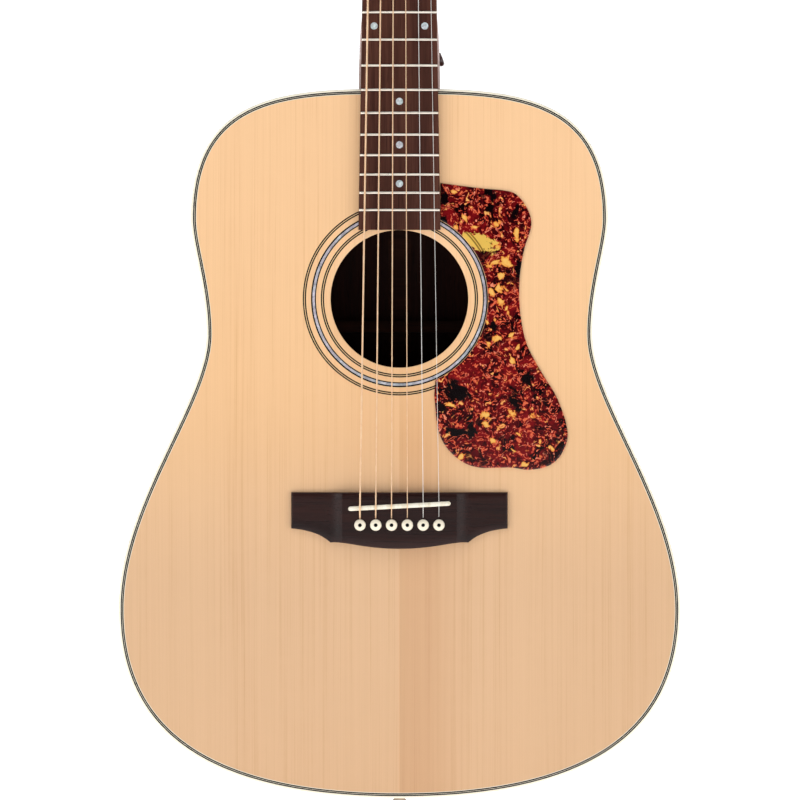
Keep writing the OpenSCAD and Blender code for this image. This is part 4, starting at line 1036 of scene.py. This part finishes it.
STR_Y = -VENEER_T - 6.6


def touch(i, gap=0.0):
    y, z = y_nut(i), -5.0
    nx, nz = x_nut(i), y * st + z * ct
    cx, cz = sgn(i) * post_x(i), ROWS[row(i)]
    R = POST_R + gap + STR_R[i - 1]
    vx, vz = nx - cx, nz - cz
    a = math.acos(R / math.hypot(vx, vz))
    b = math.atan2(vz, vx) - sgn(i) * a
    return (cx + R * math.cos(b), STR_Y, cz + R * math.sin(b)), b


# nut: rows across its width, with a round-bottomed slot for each string
xs = set(np.linspace(-21.5, 21.5, 87).tolist())
for i in range(1, 7):
    r = STR_R[i - 1]
    for t in np.linspace(-1, 1, 13):
        xs.add(x_nut(i) + t * (r + 0.03))
    xs.add(x_nut(i) - r - 0.05)
    xs.add(x_nut(i) + r + 0.05)
rows = []
for x in sorted(xs):
    base = -(BOARD_T + FRET_H + 1.05 - x * x / (2 * BOARD_R))
    edge = 21.5 - abs(x)
    base += 0.5 * max(0.0, 1 - edge / 0.8) ** 2
    top0, top1 = base, base + 1.3
    for i in range(1, 7):
        r = STR_R[i - 1] + 0.03
        d = abs(x - x_nut(i))
        if d <= r + 1e-9:
            floor0 = y_nut(i) + math.sqrt(max(0.0, r * r - d * d))
            top0 = max(top0, floor0)
            top1 = max(top1, floor0 + 1.2)
    rr = min(0.5, 0.5)
    prof = [(0.0, 0.0), (top0 + 0.25, 0.0), (top0 + 0.06, 0.1), (top0, 0.4), (top0 + 0.2, 2.0), (top1 - 0.15, 4.0), (top1, 4.7), (top1 + 0.3, 4.95), (0.0, 4.95)]
    rows.append(np.array([(x, y, z) for y, z in prof]))
v, f = rings(rows, True)
fix_normals(make("nut_bone", v, f, M_BONE, "guitar", ["nut"], 40))

# ---------------------------------------------------------------- strings
for i in range(1, 7):
    r = STR_R[i - 1]
    x = x_pin(i)
    ys, zz = y_saddle(x) - r, z_saddle(x)
    th, ang = touch(i)
    path = [(x, TOP_T + 2.2, -PIN_Z + 3.15), (x, -BRIDGE_T + 2.6, -PIN_Z + 3.15), (x, -BRIDGE_T + 0.4, -PIN_Z + 4.6), (x, ys, zz), (x_nut(i), y_nut(i), 0.2), tuple(on_head(th))]
    p = smooth_path(path, 0.9, 6)
    out = [p[0]]
    for a, b in zip(p[:-1], p[1:]):
        d = np.linalg.norm(b - a)
        k = max(1, int(d / 12))
        for t in range(1, k + 1):
            out.append(a + (b - a) * t / k)
    seg = 12
    v, f = tube(out, r, seg)
    dist = np.concatenate([[0], np.cumsum(np.linalg.norm(np.diff(np.array(out), axis=0), axis=1))]) * MM
    uv = []
    for q in f:
        js = [k % seg for k in q]
        wrap = len(q) == 4 and max(js) == seg - 1 and min(js) == 0
        for k in q:
            j = k % seg
            uv.append((dist[k // seg], (seg if wrap and j == 0 else j) / seg))
    mt = M_STEEL if i < 3 else M_WOUND
    fix_normals(make(f"string_{i}_wire", v, f, mt, "guitar", [f"string_{i}"], 60, None, uv))


# ---------------------------------------------------------------- bridge, saddle, pins
def bridge_low(x):
    """Lower edge of the bridge at x."""
    x = abs(x)
    w = [np.array(q, float) for q in [(76.2, -667.8), (66, -668.6), (56, -671), (48.5, -677.7)]]
    bl = [np.array(q, float) for q in [(48.5, -677.7), (38, -676.4), (26, -682), (0, -682)]]
    c = w if x > 48.5 else bl
    lo, hi = 0.0, 1.0
    for _ in range(40):
        mid = (lo + hi) / 2
        if bez(*c, mid)[0] > x:
            lo = mid
        else:
            hi = mid
    return float(bez(*c, (lo + hi) / 2)[1])


def bridge_h(x):
    """Height of the bridge at x: thin wings, a scooped ramp and a raised middle."""
    x = abs(x)
    if x <= 40.2:
        return BRIDGE_T
    if x >= 54:
        return 3.35 - 0.15 * (x - 54) / 22
    t = (x - 40.2) / 13.8
    return 3.35 + (BRIDGE_T - 3.35) * (1 - t) ** 2.2


xs = np.concatenate([[-76.2, -76.05, -75.6, -74.9], np.linspace(-74, -55, 14), np.linspace(-54, -48.6, 10), [-48.5], np.linspace(-48.2, -40.2, 18), np.linspace(-39.8, 39.8, 41),
                     np.linspace(40.2, 48.2, 18), [48.5], np.linspace(48.6, 54, 10), np.linspace(55, 74, 14), [74.9, 75.6, 76.05, 76.2]])
rows = []
for x in xs:
    z0, z1, h = bridge_low(x), -642.3, bridge_h(x)
    de = 76.2 - abs(x)
    he = h if de >= 1.3 else h - 1.3 + math.sqrt(max(0.0, 1.3 ** 2 - (1.3 - de) ** 2))
    he = max(he, 0.6)
    rr = min(1.3, he * 0.6)
    prof = [(0.0, z0)]
    for t in np.linspace(0, math.pi / 2, 6):
        prof.append((-(he - rr + rr * math.sin(t)), z0 + rr - rr * math.cos(t)))
    for k in np.linspace(0, 1, 8)[1:-1]:
        prof.append((-he, z0 + rr + (z1 - z0 - 2 * rr) * k))
    for t in np.linspace(math.pi / 2, 0, 6):
        prof.append((-(he - rr + rr * math.sin(t)), z1 - rr + rr * math.cos(t)))
    prof.append((0.0, z1))
    rows.append(np.array([(x, y, z) for y, z in prof]))
v, f = rings(rows, True)
fix_normals(make("bridge_wood", v, f, M_BRIDGE, "guitar", ["bridge"], 32))

# saddle: a slanted bone strip with a rounded crown and ends
a = math.atan(0.0527)
L = 36.1
rows = []
for s in np.concatenate([[-L, -L + 0.12, -L + 0.45, -L + 1.0], np.linspace(-L + 1.6, L - 1.6, 60), [L - 1.0, L - 0.45, L - 0.12, L]]):
    de = L - abs(s)
    hw = 1.6 if de >= 1.6 else max(0.25, math.sqrt(max(0, 1.6 ** 2 - (1.6 - de) ** 2)))
    x = s * math.cos(a)
    top = y_saddle(x) + 0.0 + 0.35 * max(0.0, 1 - de / 1.2) ** 2
    prof = [(-BRIDGE_T + 4, -hw)]
    for t in np.linspace(0, math.pi, 13):
        prof.append((top + 0.9 - 0.9 * math.sin(t), -hw * math.cos(t)))
    prof.append((-BRIDGE_T + 4, hw))
    rows.append(np.array([(x - q * math.sin(a), y, -651.9 + s * math.sin(a) + q * math.cos(a)) for y, q in prof]))
v, f = rings(rows, True)
fix_normals(make("saddle_bone", v, f, M_BONE, "guitar", ["saddle"], 40))

pin_prof = soften([(0, -22), (1.3, -22), (2.0, -20.5), (2.3, -1), (2.3, 0.15), (3.9, 0.2), (4.1, 1.0), (3.95, 1.9), (3.3, 2.8), (2.2, 3.35), (1.35, 3.5), (1.25, 3.2), (0, 3.15)], 0.3, 4)
parts, dots = [], []
for i in range(1, 7):
    vs, fs = lathe(pin_prof, 64)
    parts.append((basis(vs, (x_pin(i), -BRIDGE_T, -PIN_Z), (1, 0, 0), (0, 0, 1), (0, -1, 0)), fs))
    vs, fs = lathe(soften([(0, 2.9), (1.24, 2.9), (1.24, 3.5), (0.9, 3.62), (0, 3.64)], 0.1, 3), 48)
    dots.append((basis(vs, (x_pin(i), -BRIDGE_T, -PIN_Z), (1, 0, 0), (0, 0, 1), (0, -1, 0)), fs))
v, f = merge(parts)
fix_normals(make("bridge_pin_set", v, f, M_PIN, "guitar", ["bridge_pins"], 45))
v, f = merge(dots)
fix_normals(make("bridge_pin_dots", v, f, M_BLACK, "guitar", ["pin_dots"], 45))

# ---------------------------------------------------------------- neck: shaft and heel in one surface, the headstock in another
HEEL_Y = DEPTH_NECK - 2


def shaft_d(z):
    return 14.5 - 0.0105 * z


def heel_l(y):
    return 27 + 68 * math.exp(-max(0.0, y - 10) / 12)


def heel_hw(y):
    return 11 + 16 * max(0.0, 1 - max(0.0, y - 10) / (HEEL_Y - 10)) ** 1.3


def neck_w(y, z, blend=6.0):
    d = shaft_d(z)
    ws = 0.0 if y >= d else board_hw(z) * (1 - (y / d) ** 2.3) ** (1 / 2.3)
    q = (z - BODY_TOP) / heel_l(y)
    wh = 0.0 if q >= 1 else heel_hw(min(y, HEEL_Y)) * (1 - max(q, 0.0) ** 2.4) ** (1 / 2.4)
    if y < 4:
        return max(ws, wh)
    k = min(1.0, (y - 4) / 6)
    soft = (ws ** blend + wh ** blend) ** (1 / blend)
    return max(ws, wh) * (1 - k) + soft * k


lev = np.concatenate([np.linspace(HEEL_Y, 60, 30), np.linspace(59, 30, 34), np.linspace(29.2, 19.2, 24)])
stations = [(BODY_TOP + s, HEEL_Y) for s in np.linspace(0, 26.5, 14)]
stations += [(BODY_TOP + heel_l(y) - 0.02, y) for y in lev[1:]]
zlast = stations[-1][0]
for z in np.linspace(zlast + 2, -20, 60):
    stations.append((z, max(shaft_d(z), 0)))
rows = []
MC = 36
for z, d in stations:
    ring = []
    for j in range(MC + 1):
        y = d * math.sin(math.pi / 2 * j / MC)
        ring.append((max(0.05, neck_w(y, z)), y))
    ring[-1] = (max(0.05, ring[-1][0]), d)
    full_ring = [(x, y, z) for x, y in ring] + [(-x, y, z) for x, y in ring[::-1]]
    rows.append(np.array(full_ring))


def super_ring(w, d, n, flat=0.0):
    pts = []
    for j in range(MC + 1):
        t = math.pi / 2 * j / MC
        pts.append((w * math.cos(t) ** (2 / n), d * math.sin(t) ** (2 / n)))
    pts[0] = (w, 0.0)
    pts[-1] = (0.05, d)
    return [(x, y) for x, y in pts] + [(-x, y) for x, y in pts[::-1]]


# from the last shaft ring to the headstock: the section goes from a D to a box while its plane leans back
n0 = 2.3
for k, z in enumerate(np.linspace(-16, 4.9, 14)):
    t = (z + 20) / 25
    n = n0 + 0.9 * t ** 2
    d = shaft_d(z) + 0.5 * math.sin(math.pi * min(1, t)) 
    rows.append(np.array([(x, y, z) for x, y in super_ring(board_hw(z), d, n)]))
neck_rows = rows
rows = []
for al in (0.02, 0.25, 0.5, 0.75):
    A = TILT * al
    rows.append(np.array([(x, y * math.cos(A), 5 - y * math.sin(A)) for x, y in super_ring(board_hw(0) + 0.02, 14.4 - 0.3 * al, 3.2 + 0.3 * al)]))


def head_w(z):
    if z <= 25:
        c = [np.array(q, float) for q in [(board_hw(0), 0), (board_hw(0) + 0.3, 9), (head_hw(25) - 2.6, 16), (head_hw(25), 25)]]
    elif z <= 175:
        return head_hw(z)
    else:
        c = [np.array(q, float) for q in [(head_hw(175), 175), (head_hw(175) + 0.7, 186), (head_hw(175) - 8, 189), (20, 190.5)]]
        if z >= 190.5:
            return 20.0 * max(0.0, (192 - z) / 1.5) ** 0.5
    lo, hi = 0.0, 1.0
    for _ in range(40):
        mid = (lo + hi) / 2
        if bez(*c, mid)[1] < z:
            lo = mid
        else:
            hi = mid
    return float(bez(*c, (lo + hi) / 2)[0])


hz = np.concatenate([np.linspace(0.0, 26, 27), np.linspace(30, 175, 40), np.linspace(176, 188, 16), np.linspace(188.4, 190.5, 9), [190.9, 191.3, 191.6, 191.85, 191.95]])
for z in hz:
    t = min(1.0, z / 26)
    t = t * t * (3 - 2 * t)
    n = 3.5 + 12 * t
    d = 14.1 - 0.6 * t
    w = max(0.4, head_w(z))
    rows.append(np.array([tuple(on_head((x, y, z))) for x, y in super_ring(w, d, n)]))
v, f = rings(neck_rows, True)
fix_normals(make("neck_wood", v, f, M_NECK, "guitar", ["neck"], 38))
v, f = rings(rows, True)
fix_normals(make("headstock_wood", v, f, M_NECK, "guitar", ["headstock"], 38))

# heel cap
hc = []
for j in range(49):
    t = math.pi * j / 48
    c = math.cos(t)
    hc.append((heel_hw(HEEL_Y) * math.copysign(abs(c) ** (2 / 2.4), c), BODY_TOP + heel_l(HEEL_Y) * abs(math.sin(t)) ** (2 / 2.4)))
v, f = plate(hc, HEEL_Y - 0.3, HEEL_Y + 2, 0.5, 4)
fix_normals(make("heel_cap_ivory", v, f, M_IVORY, "guitar", ["heel_cap"], 40))

# headstock veneer
rt = [(head_w(z), z) for z in np.concatenate([np.linspace(0.5, 25, 20), np.linspace(30, 175, 12), np.linspace(176, 190.5, 30), [190.8, 191.1, 191.4, 191.7, 191.9]])] + [(0.0, 192.0)]
pl = rt + [(-x, z) for x, z in rt[:-1][::-1]]
v, f = plate(pl, -VENEER_T, 0.05, 0.3, 4, False)
v = on_head(v)
fix_normals(make("head_veneer_wood", v, f, M_VENEER, "guitar", ["head_veneer"], 40))

# ---------------------------------------------------------------- end pin, graft, strap button
ep = soften([(0, -24), (3.3, -24), (4, -20), (4, 0.0), (5.5, 0.0), (5.3, 1.2), (4.1, 2.3), (3.7, 3.4), (3.75, 4.8), (4.3, 6.2), (5.9, 7.2), (6.0, 8.2), (5.9, 9.4), (5.1, 10.6), (3.3, 11.4), (0, 11.7)], 0.5, 4)
vs, fs = lathe(ep, 96)
v = basis(vs, (0, 62, BODY_END), (1, 0, 0), (0, -1, 0), (0, 0, -1))
fix_normals(make("end_pin_ivory", v, fs, M_PIN, "guitar", ["end_pin"], 45))

ring_ = full(0.03)
ring_in = full(-1.15)
n = len(_pts)
rows = []
for yy in np.linspace(BIND_H, 1, 2)[:1].tolist() + np.linspace(12, 110, 12).tolist() + [None]:
    w = 6.5 + 3.0 * ((yy if yy is not None else 116) / 135)
    outer, inner = [], []
    for x in np.linspace(-w, w, 13):
        h = half(0.03)
        zo = np.interp(abs(x), h[::-1, 0][: 60], h[::-1, 1][: 60])
        yv = yy if yy is not None else float(y_back(x, zo, BIND_H))
        outer.append((x, yv, zo))
        inner.append((x, yv, zo + 1.2))
    rows.append(np.array(outer + inner[::-1]))
v, f = rings(rows, True)
fix_normals(make("end_graft_wood", v, f, M_GRAFT, "guitar", ["end_graft"], 40))

ax = np.array([math.cos(math.radians(20)), 0, math.sin(math.radians(20))])
uy = np.array([0.0, 1.0, 0.0])
ux = np.cross(uy, ax)
bp = (19.2, 30, -338.5)
prof = soften([(0, -1.5), (5, -1.5), (5, 1.0), (4.3, 1.9), (3.3, 3.0), (3.0, 5.2), (3.3, 7.6), (4.9, 9.2), (5.0, 10.4), (4.9, 11.4), (4.2, 12.2), (3.2, 12.4), (3.1, 11.6), (0, 11.4)], 0.35, 4)
vs, fs = lathe(prof, 96)
fix_normals(make("strap_button_wood", basis(vs, bp, ux, uy, ax), fs, M_BUTTON, "guitar", ["strap_button"], 45))


def screw_head(r, h0, h1, slot_w, cross=False, dome=0.5):
    """A domed screw head with a real slot, as rings of a polar grid with depressed slot cells."""
    seg, radial = 64, 14
    verts, faces = [], []
    rr = [r * k / radial for k in range(radial + 1)]
    verts.append([0, 0, h1])
    for q in rr[1:]:
        for k in range(seg):
            t = 2 * math.pi * k / seg
            verts.append([q * math.cos(t), q * math.sin(t), h1 - dome * (q / r) ** 2.5])
    for v_ in verts:
        inside = abs(v_[1]) < slot_w / 2 or (cross and abs(v_[0]) < slot_w / 2)
        if inside and (not cross or math.hypot(v_[0], v_[1]) < r * 0.7):
            v_[2] -= 0.5
    for k in range(seg):
        faces.append((0, 1 + k, 1 + (k + 1) % seg))
    for i in range(radial - 1):
        for k in range(seg):
            a0, b0 = 1 + i * seg + k, 1 + i * seg + (k + 1) % seg
            faces.append((a0, a0 + seg, b0 + seg, b0))
    base = len(verts)
    for k in range(seg):
        t = 2 * math.pi * k / seg
        verts.append([r * math.cos(t), r * math.sin(t), h0])
    last = 1 + (radial - 1) * seg
    for k in range(seg):
        faces.append((last + k, base + k, base + (k + 1) % seg, last + (k + 1) % seg))
    faces.append(tuple(base + k for k in range(seg))[::-1])
    return np.array(verts, float), faces


vs, fs = screw_head(3.0, 10.9, 12.3, 0.8, True, 0.6)
shank = lathe([(0, -16), (0.6, -15), (1.5, -12), (1.5, 11), (0, 11)], 32)
v, f = merge([(vs, fs), shank])
fix_normals(make("strap_button_screw_steel", basis(v, bp, ux, uy, ax), f, M_TRUSS, "guitar", ["strap_button_screw"], 35))


# ---------------------------------------------------------------- tuning machines
COG_R, WORM_R, TEETH = 5.6, 2.8, 14
PITCH = math.pi * 0.8
AX_Z, AX_Y = -(COG_R + WORM_R), 4.55
SCREWS = [(0, 9.6), (0, -15.6)]


def at_post(vs, i):
    vs = np.asarray(vs, float)
    s = sgn(i)
    q = np.stack([s * (post_x(i) + vs[:, 0]), HEAD_T + vs[:, 1], ROWS[row(i)] + vs[:, 2]], 1)
    return on_head(q)


def cyl_x(profile, seg=64):
    """Lathe about the worm's axis; profile is (r, x)."""
    vs, fs = lathe(profile, seg)
    return basis(vs, (0, AX_Y, AX_Z), (0, 1, 0), (0, 0, 1), (1, 0, 0)), fs


def cyl_y(profile, seg=64, at=(0, 0)):
    vs, fs = lathe(profile, seg)
    return basis(vs, (at[0], 0, at[1]), (0, 0, 1), (1, 0, 0), (0, 1, 0)), fs


outline = soften_loop([(-4.5, 12), (4.5, 12), (6.5, 7), (8.6, 3), (8.6, -13), (4.5, -18), (-4.5, -18), (-8.6, -13), (-8.6, 3), (-6.5, 7)], 2.6, 7)


def tuner_plate_mesh():
    parts = [plate(outline, 0.0, 1.0, 0.3, 4)]
    # the plate's outer corner ring faces away from the wood; bearing lugs with rounded tops hold the worm
    for x0 in (-7.6, 6.0):
        prof = [(-3.2, 0.6)] + [(-3.2 * math.cos(t), 4.9 + 3.05 * math.sin(t)) for t in np.linspace(0, math.pi, 21)] + [(3.2, 0.6)]
        lo = np.array(prof)
        rows = []
        for dx, ins in ((0.0, 0.25), (0.08, 0.08), (0.25, 0.0), (1.35, 0.0), (1.52, 0.08), (1.6, 0.25)):
            cz, cy = 0.0, 4.2
            q = np.array([(x0 + dx, cy + (y - cy) * (1 - ins / 4.0), AX_Z + z * (1 - ins / 3.2)) for z, y in lo])
            rows.append(q)
        parts.append(rings(rows, True))
    # raised boss round the post
    parts.append(cyl_y([(3.15, 0.8), (5.0, 0.8), (4.9, 1.35), (4.6, 1.55), (3.35, 1.55), (3.15, 1.4)], 64))
    return merge(parts)


pm = tuner_plate_mesh()
parts = [(at_post(pm[0], i), pm[1]) for i in range(1, 7)]
v, f = merge(parts)
fix_normals(make("tuner_plate_set", v, f, M_CHROME, "guitar", ["tuner_plates"], 35))

parts = []
for i in range(1, 7):
    for k, (u, w) in enumerate(SCREWS):
        vs, fs = screw_head(2.2, 0.9, 2.2, 0.6, False, 0.7)
        rot = 0.6 + 1.3 * ((i * 7 + k * 3) % 5) / 5
        c, s = math.cos(rot), math.sin(rot)
        vs = np.stack([vs[:, 0] * c - vs[:, 1] * s + u, vs[:, 2], vs[:, 0] * s + vs[:, 1] * c + w], 1)
        sh = cyl_y([(0, -9), (0.5, -8.4), (0.9, -7.5), (0.9, 1.2), (0, 1.2)], 24, (u, w))
        vv, ff = merge([(vs, fs), sh])
        parts.append((at_post(vv, i), ff))
v, f = merge(parts)
fix_normals(make("tuner_screw_set", v, f, M_CHROME, "guitar", ["tuner_screws"], 35))

fy = -HEAD_T - VENEER_T
bush = [(POST_R + 0.05, fy - 1.3), (3.4, fy - 1.4), (4.3, fy - 1.4), (4.8, fy - 1.15), (5.1, fy - 0.8), (5.2, fy - 0.5), (5.2, fy), (4.4, fy), (4.4, fy + 8), (POST_R + 0.05, fy + 8)]
bm_ = cyl_y(bush, 80)
v, f = merge([(at_post(bm_[0], i), bm_[1]) for i in range(1, 7)])
fix_normals(make("tuner_bushing_set", v, f, M_CHROME, "guitar", ["tuner_bushings"], 40))


def worm_mesh():
    """A true single-start worm: radius as a function of turn angle and length, between x = -4 and 4."""
    seg, per = 48, 40
    n = int(8 / PITCH * per) + 1
    rows = []
    for k in range(n + 1):
        x = -4 + 8 * k / n
        ring = []
        for j in range(seg):
            th = 2 * math.pi * j / seg
            ph = (th - 2 * math.pi * x / PITCH) / (2 * math.pi) % 1.0
            q = abs(ph if ph < 0.5 else ph - 1.0) * 360
            t = min(1.0, max(0.0, (q - 38) / 50))
            t = t * t * (3 - 2 * t)
            r = 3.32 - 1.45 * t
            fade = min(1.0, min(x + 4, 4 - x) / 0.5 + 0.15)
            r = 1.87 + (r - 1.87) * fade
            ring.append((x, AX_Y + r * math.sin(th), AX_Z - r * math.cos(th)))
        rows.append(np.array(ring))
    return rings(rows, True)


def button_mesh():
    """A flat oval button, domed on both faces and thinner towards its stem."""
    seg, lat = 72, 24
    rows = []
    for k in range(1, lat):
        t = -math.pi / 2 + math.pi * k / lat
        ce, se = math.cos(t), math.sin(t)
        ring = []
        for j in range(seg):
            a_ = 2 * math.pi * j / seg
            c, s = math.cos(a_), math.sin(a_)
            ex = math.copysign(abs(c) ** 0.8, c)
            ez = math.copysign(abs(s) ** 0.8, s)
            k2 = abs(ce) ** 0.42
            x = 8.55 * ex * k2
            z = 9.55 * ez * k2 * (0.93 + 0.07 * (x / 8.6))
            y = 3.45 * math.copysign(abs(se) ** 0.75, se) * (0.80 + 0.20 * (x + 8.6) / 17.2)
            ring.append((24.6 + x, AX_Y + y, AX_Z + z))
        rows.append(np.array(ring))
    return rings(rows, True)


wm, bmh = worm_mesh(), button_mesh()
shaft = cyl_x(soften([(0, -9.2), (1.9, -9.2), (2.85, -8.9), (2.9, -8.2), (2.7, -7.95), (2.0, -7.95), (2.0, -3.9), (0, -3.9)], 0.15, 3))
shaft2 = cyl_x(soften([(0, 3.9), (2.0, 3.9), (2.0, 7.95), (2.9, 7.95), (3.0, 8.3), (2.9, 9.1), (2.1, 9.3), (2.0, 10.5), (2.2, 13.0), (2.9, 15.2), (3.1, 16.2), (3.1, 18), (0, 18)], 0.15, 3))
for i in range(1, 7):
    v, f = merge([(at_post(m_[0], i), m_[1]) for m_ in (wm, shaft, shaft2, bmh)])
    fix_normals(make(f"tuner_key_{i}_metal", v, f, M_CHROME, f"key_{i}", [f"tuner_key_{i}"], 35))


def cog_mesh():
    prof = []
    for k in range(TEETH):
        c = -90 + k * 360 / TEETH
        for r, q in [(4.75, -9.5), (4.78, -8.0), (5.2, -6.0), (5.6, -4.5), (6.0, -3.4), (6.25, -2.5), (6.3, -1.6), (6.3, 1.6), (6.25, 2.5), (6.0, 3.4), (5.6, 4.5), (5.2, 6.0), (4.78, 8.0), (4.75, 9.5)]:
            t = math.radians(c + q)
            prof.append((r * math.cos(t), r * math.sin(t)))
    prof = np.array(prof)
    rows = []
    for y, s in ((3.25, 0.97), (3.4, 1.0), (5.7, 1.0), (5.85, 0.97)):
        rows.append(np.stack([prof[:, 0] * s, np.full(len(prof), y), prof[:, 1] * s], 1))
    inner = []
    m = len(prof)
    tt = np.arctan2(prof[:, 1], prof[:, 0])
    for y in (5.85, 3.25):
        inner.append(np.stack([2.05 * np.cos(tt), np.full(m, y), 2.05 * np.sin(tt)], 1))
    return rings(rows + inner, False, False, True)


cogm = cog_mesh()
for i in range(1, 7):
    r = STR_R[i - 1]
    post = soften([(0, fy - 10), (2.2, fy - 10), (2.9, fy - 9.75), (3.1, fy - 9.3), (3.1, fy - 8.2), (2.95, fy - 7.4), (2.95, fy - 3.0), (3.1, fy - 2.2), (3.1, 3.2), (2.0, 3.2), (2.0, 5.95), (0, 5.95)], 0.12, 3)
    pmh = cyl_y(post, 64)
    # string hole: a dark bore seen as two countersunk rims
    rims = []
    for s_ in (-1, 1):
        vs, fs = lathe([(0, 0.0), (0.85, 0.0), (0.95, 0.12), (0.9, 0.2), (0.55, -0.25), (0, -0.3)], 24)
        rims.append((basis(vs, (0, -HEAD_T + STR_Y, s_ * 2.9), (1, 0, 0), (0, 1, 0), (0, 0, s_)), fs))
    sv, sf = screw_head(2.7, 5.9, 7.1, 0.7, False, 0.5)
    sv = np.stack([sv[:, 0], sv[:, 2], sv[:, 1]], 1)
    v, f = merge([(at_post(q[0], i), q[1]) for q in (pmh, (sv, sf), rims[0], rims[1])])
    fix_normals(make(f"tuner_post_{i}_metal", v, f, M_CHROME, f"post_{i}", [f"tuner_post_{i}"], 35))
    fix_normals(make(f"tuner_cog_{i}_metal", at_post(cogm[0], i), cogm[1], M_CHROME_D, f"post_{i}", [f"tuner_post_{i}"], 35))
    # windings: a ring where the string arrives, turns below it, and a last ring where the turns end
    turns = 3 if r > 0.5 else 4 if r > 0.3 else 5
    R = POST_R + r
    pts = []
    _, ang = touch(i)
    a0 = math.atan2(math.sin(ang), sgn(i) * math.cos(ang))
    d = 2 * r * 1.02
    n_ = 48
    for k in range(n_):
        pts.append((R * math.cos(a0 + 2 * math.pi * k / n_), -HEAD_T + STR_Y, R * math.sin(a0 + 2 * math.pi * k / n_)))
    for k in range(turns * n_):
        pts.append((R * math.cos(a0 + 2 * math.pi * k / n_), -HEAD_T + STR_Y + d * k / n_, R * math.sin(a0 + 2 * math.pi * k / n_)))
    for k in range(n_ + 1):
        pts.append((R * math.cos(a0 + 2 * math.pi * k / n_), -HEAD_T + STR_Y + d * turns, R * math.sin(a0 + 2 * math.pi * k / n_)))
    vv, ff = tube(pts, r, 10)
    seg = 10
    dist = np.concatenate([[0], np.cumsum(np.linalg.norm(np.diff(np.array(pts), axis=0), axis=1))]) * MM
    uv = []
    for q in ff:
        js = [k % seg for k in q]
        wrap = len(q) == 4 and max(js) == seg - 1 and min(js) == 0
        for k in q:
            j = k % seg
            uv.append((dist[k // seg], (seg if wrap and j == 0 else j) / seg))
    fix_normals(make(f"string_{i}_winding", at_post(vv, i), ff, M_STEEL if i < 3 else M_WOUND, f"post_{i}", [f"tuner_post_{i}"], 60, None, uv))

# ---------------------------------------------------------------- inner pieces keep their CAD shape, with wood of their own; the back braces and back strip get near-black wood that is painted shade
for nm, mt in {"x_braces": M_BRACE, "tone_bars": M_BRACE, "transverse_brace": M_BRACE, "back_braces": M_INNER_STRIP_SHADE, "back_strip": M_INNER_STRIP_SHADE,
               "bridge_plate": M_MAPLE, "neck_block": M_BLOCK, "tail_block": M_BLOCK, "top_lining": M_LINING, "back_lining": M_LINING, "truss_rod": M_TRUSS, "ball_ends": M_BRASS}.items():
    o = nodes[nm]
    if len(o.material_slots):
        for s_ in o.material_slots:
            s_.material = mt
    else:
        o.data.materials.append(mt)

# ---------------------------------------------------------------- floor, lights, background
floor_z = cad_box[0][2] - 0.0004
fm, nt, b = new_mat("floor_pale")
g = G(nt)
g.put(b.inputs["Base Color"], g.ramp(g.noise(g.coord(), 3.0, 2.0), [(0.3, (0.86, 0.86, 0.86)), (0.7, (0.89, 0.89, 0.89))]))
b.inputs["Roughness"].default_value = 0.75
b.inputs["Emission Color"].default_value = (1, 1, 1, 1)
b.inputs["Emission Strength"].default_value = 0.95
me = bpy.data.meshes.new("floor")
me.from_pydata([(-14, -14, floor_z), (14, -14, floor_z), (14, 14, floor_z), (-14, 14, floor_z)], [], [(0, 1, 2, 3)])
me.materials.append(fm)
floor = bpy.data.objects.new("floor", me)
scene.collection.objects.link(floor)


def area(name, loc, look, size, power, col=(1, 1, 1)):
    d = bpy.data.lights.new(name, "AREA")
    d.shape = "RECTANGLE"
    d.size, d.size_y = size
    d.energy = power
    d.color = col
    o = bpy.data.objects.new(name, d)
    scene.collection.objects.link(o)
    o.location = loc
    o.rotation_euler = (Vector(look) - Vector(loc)).to_track_quat("-Z", "Y").to_euler()
    o.visible_camera = False
    return o


area("key_left", (-2.9, -2.1, 0.5), (0, 0, -0.5), (1.5, 2.2), 28)
area("key_right", (2.9, -2.1, 0.4), (0, 0, -0.5), (1.5, 2.2), 23)
area("top_front", (0.0, -1.5, 2.3), (0, 0, -0.4), (2.4, 1.0), 17)
area("back_left", (-2.2, 2.6, 0.8), (0, 0, -0.5), (1.6, 2.0), 50)
area("back_right", (2.2, 2.6, 0.8), (0, 0, -0.5), (1.6, 2.0), 50)

w = bpy.data.worlds.new("studio")
scene.world = w
w.use_nodes = True
nt = w.node_tree
for n in list(nt.nodes):
    nt.nodes.remove(n)
g = G(nt)
out = g.node("ShaderNodeOutputWorld")
bg1, bg2 = g.node("ShaderNodeBackground"), g.node("ShaderNodeBackground")
bg1.inputs[0].default_value = (1, 1, 1, 1)
bg1.inputs[1].default_value = 1.2
tc = g.node("ShaderNodeTexCoord").outputs["Generated"]
x, y, z = g.sep(tc)
dirs = g.ramp(g.maprange(z, -1, 1, 0, 1), [(0.0, (0.75, 0.75, 0.75)), (0.45, (0.60, 0.60, 0.61)), (1.0, (0.95, 0.95, 0.96))])
front = g.maprange(y, -0.95, -0.25, 0.06, 1.0, True)
g.put(bg2.inputs[0], g.mix(1.0, dirs, g.comb(front, front, front), "MULTIPLY"))
bg2.inputs[1].default_value = 0.38
mx = g.node("ShaderNodeMixShader")
lp = g.node("ShaderNodeLightPath")
nt.links.new(lp.outputs["Is Camera Ray"], mx.inputs[0])
nt.links.new(bg2.outputs[0], mx.inputs[1])
nt.links.new(bg1.outputs[0], mx.inputs[2])
nt.links.new(mx.outputs[0], out.inputs[0])

scene.view_settings.view_transform = "Standard"
scene.view_settings.look = "None"
scene.view_settings.exposure = 0.0
scene.view_settings.gamma = 1.0
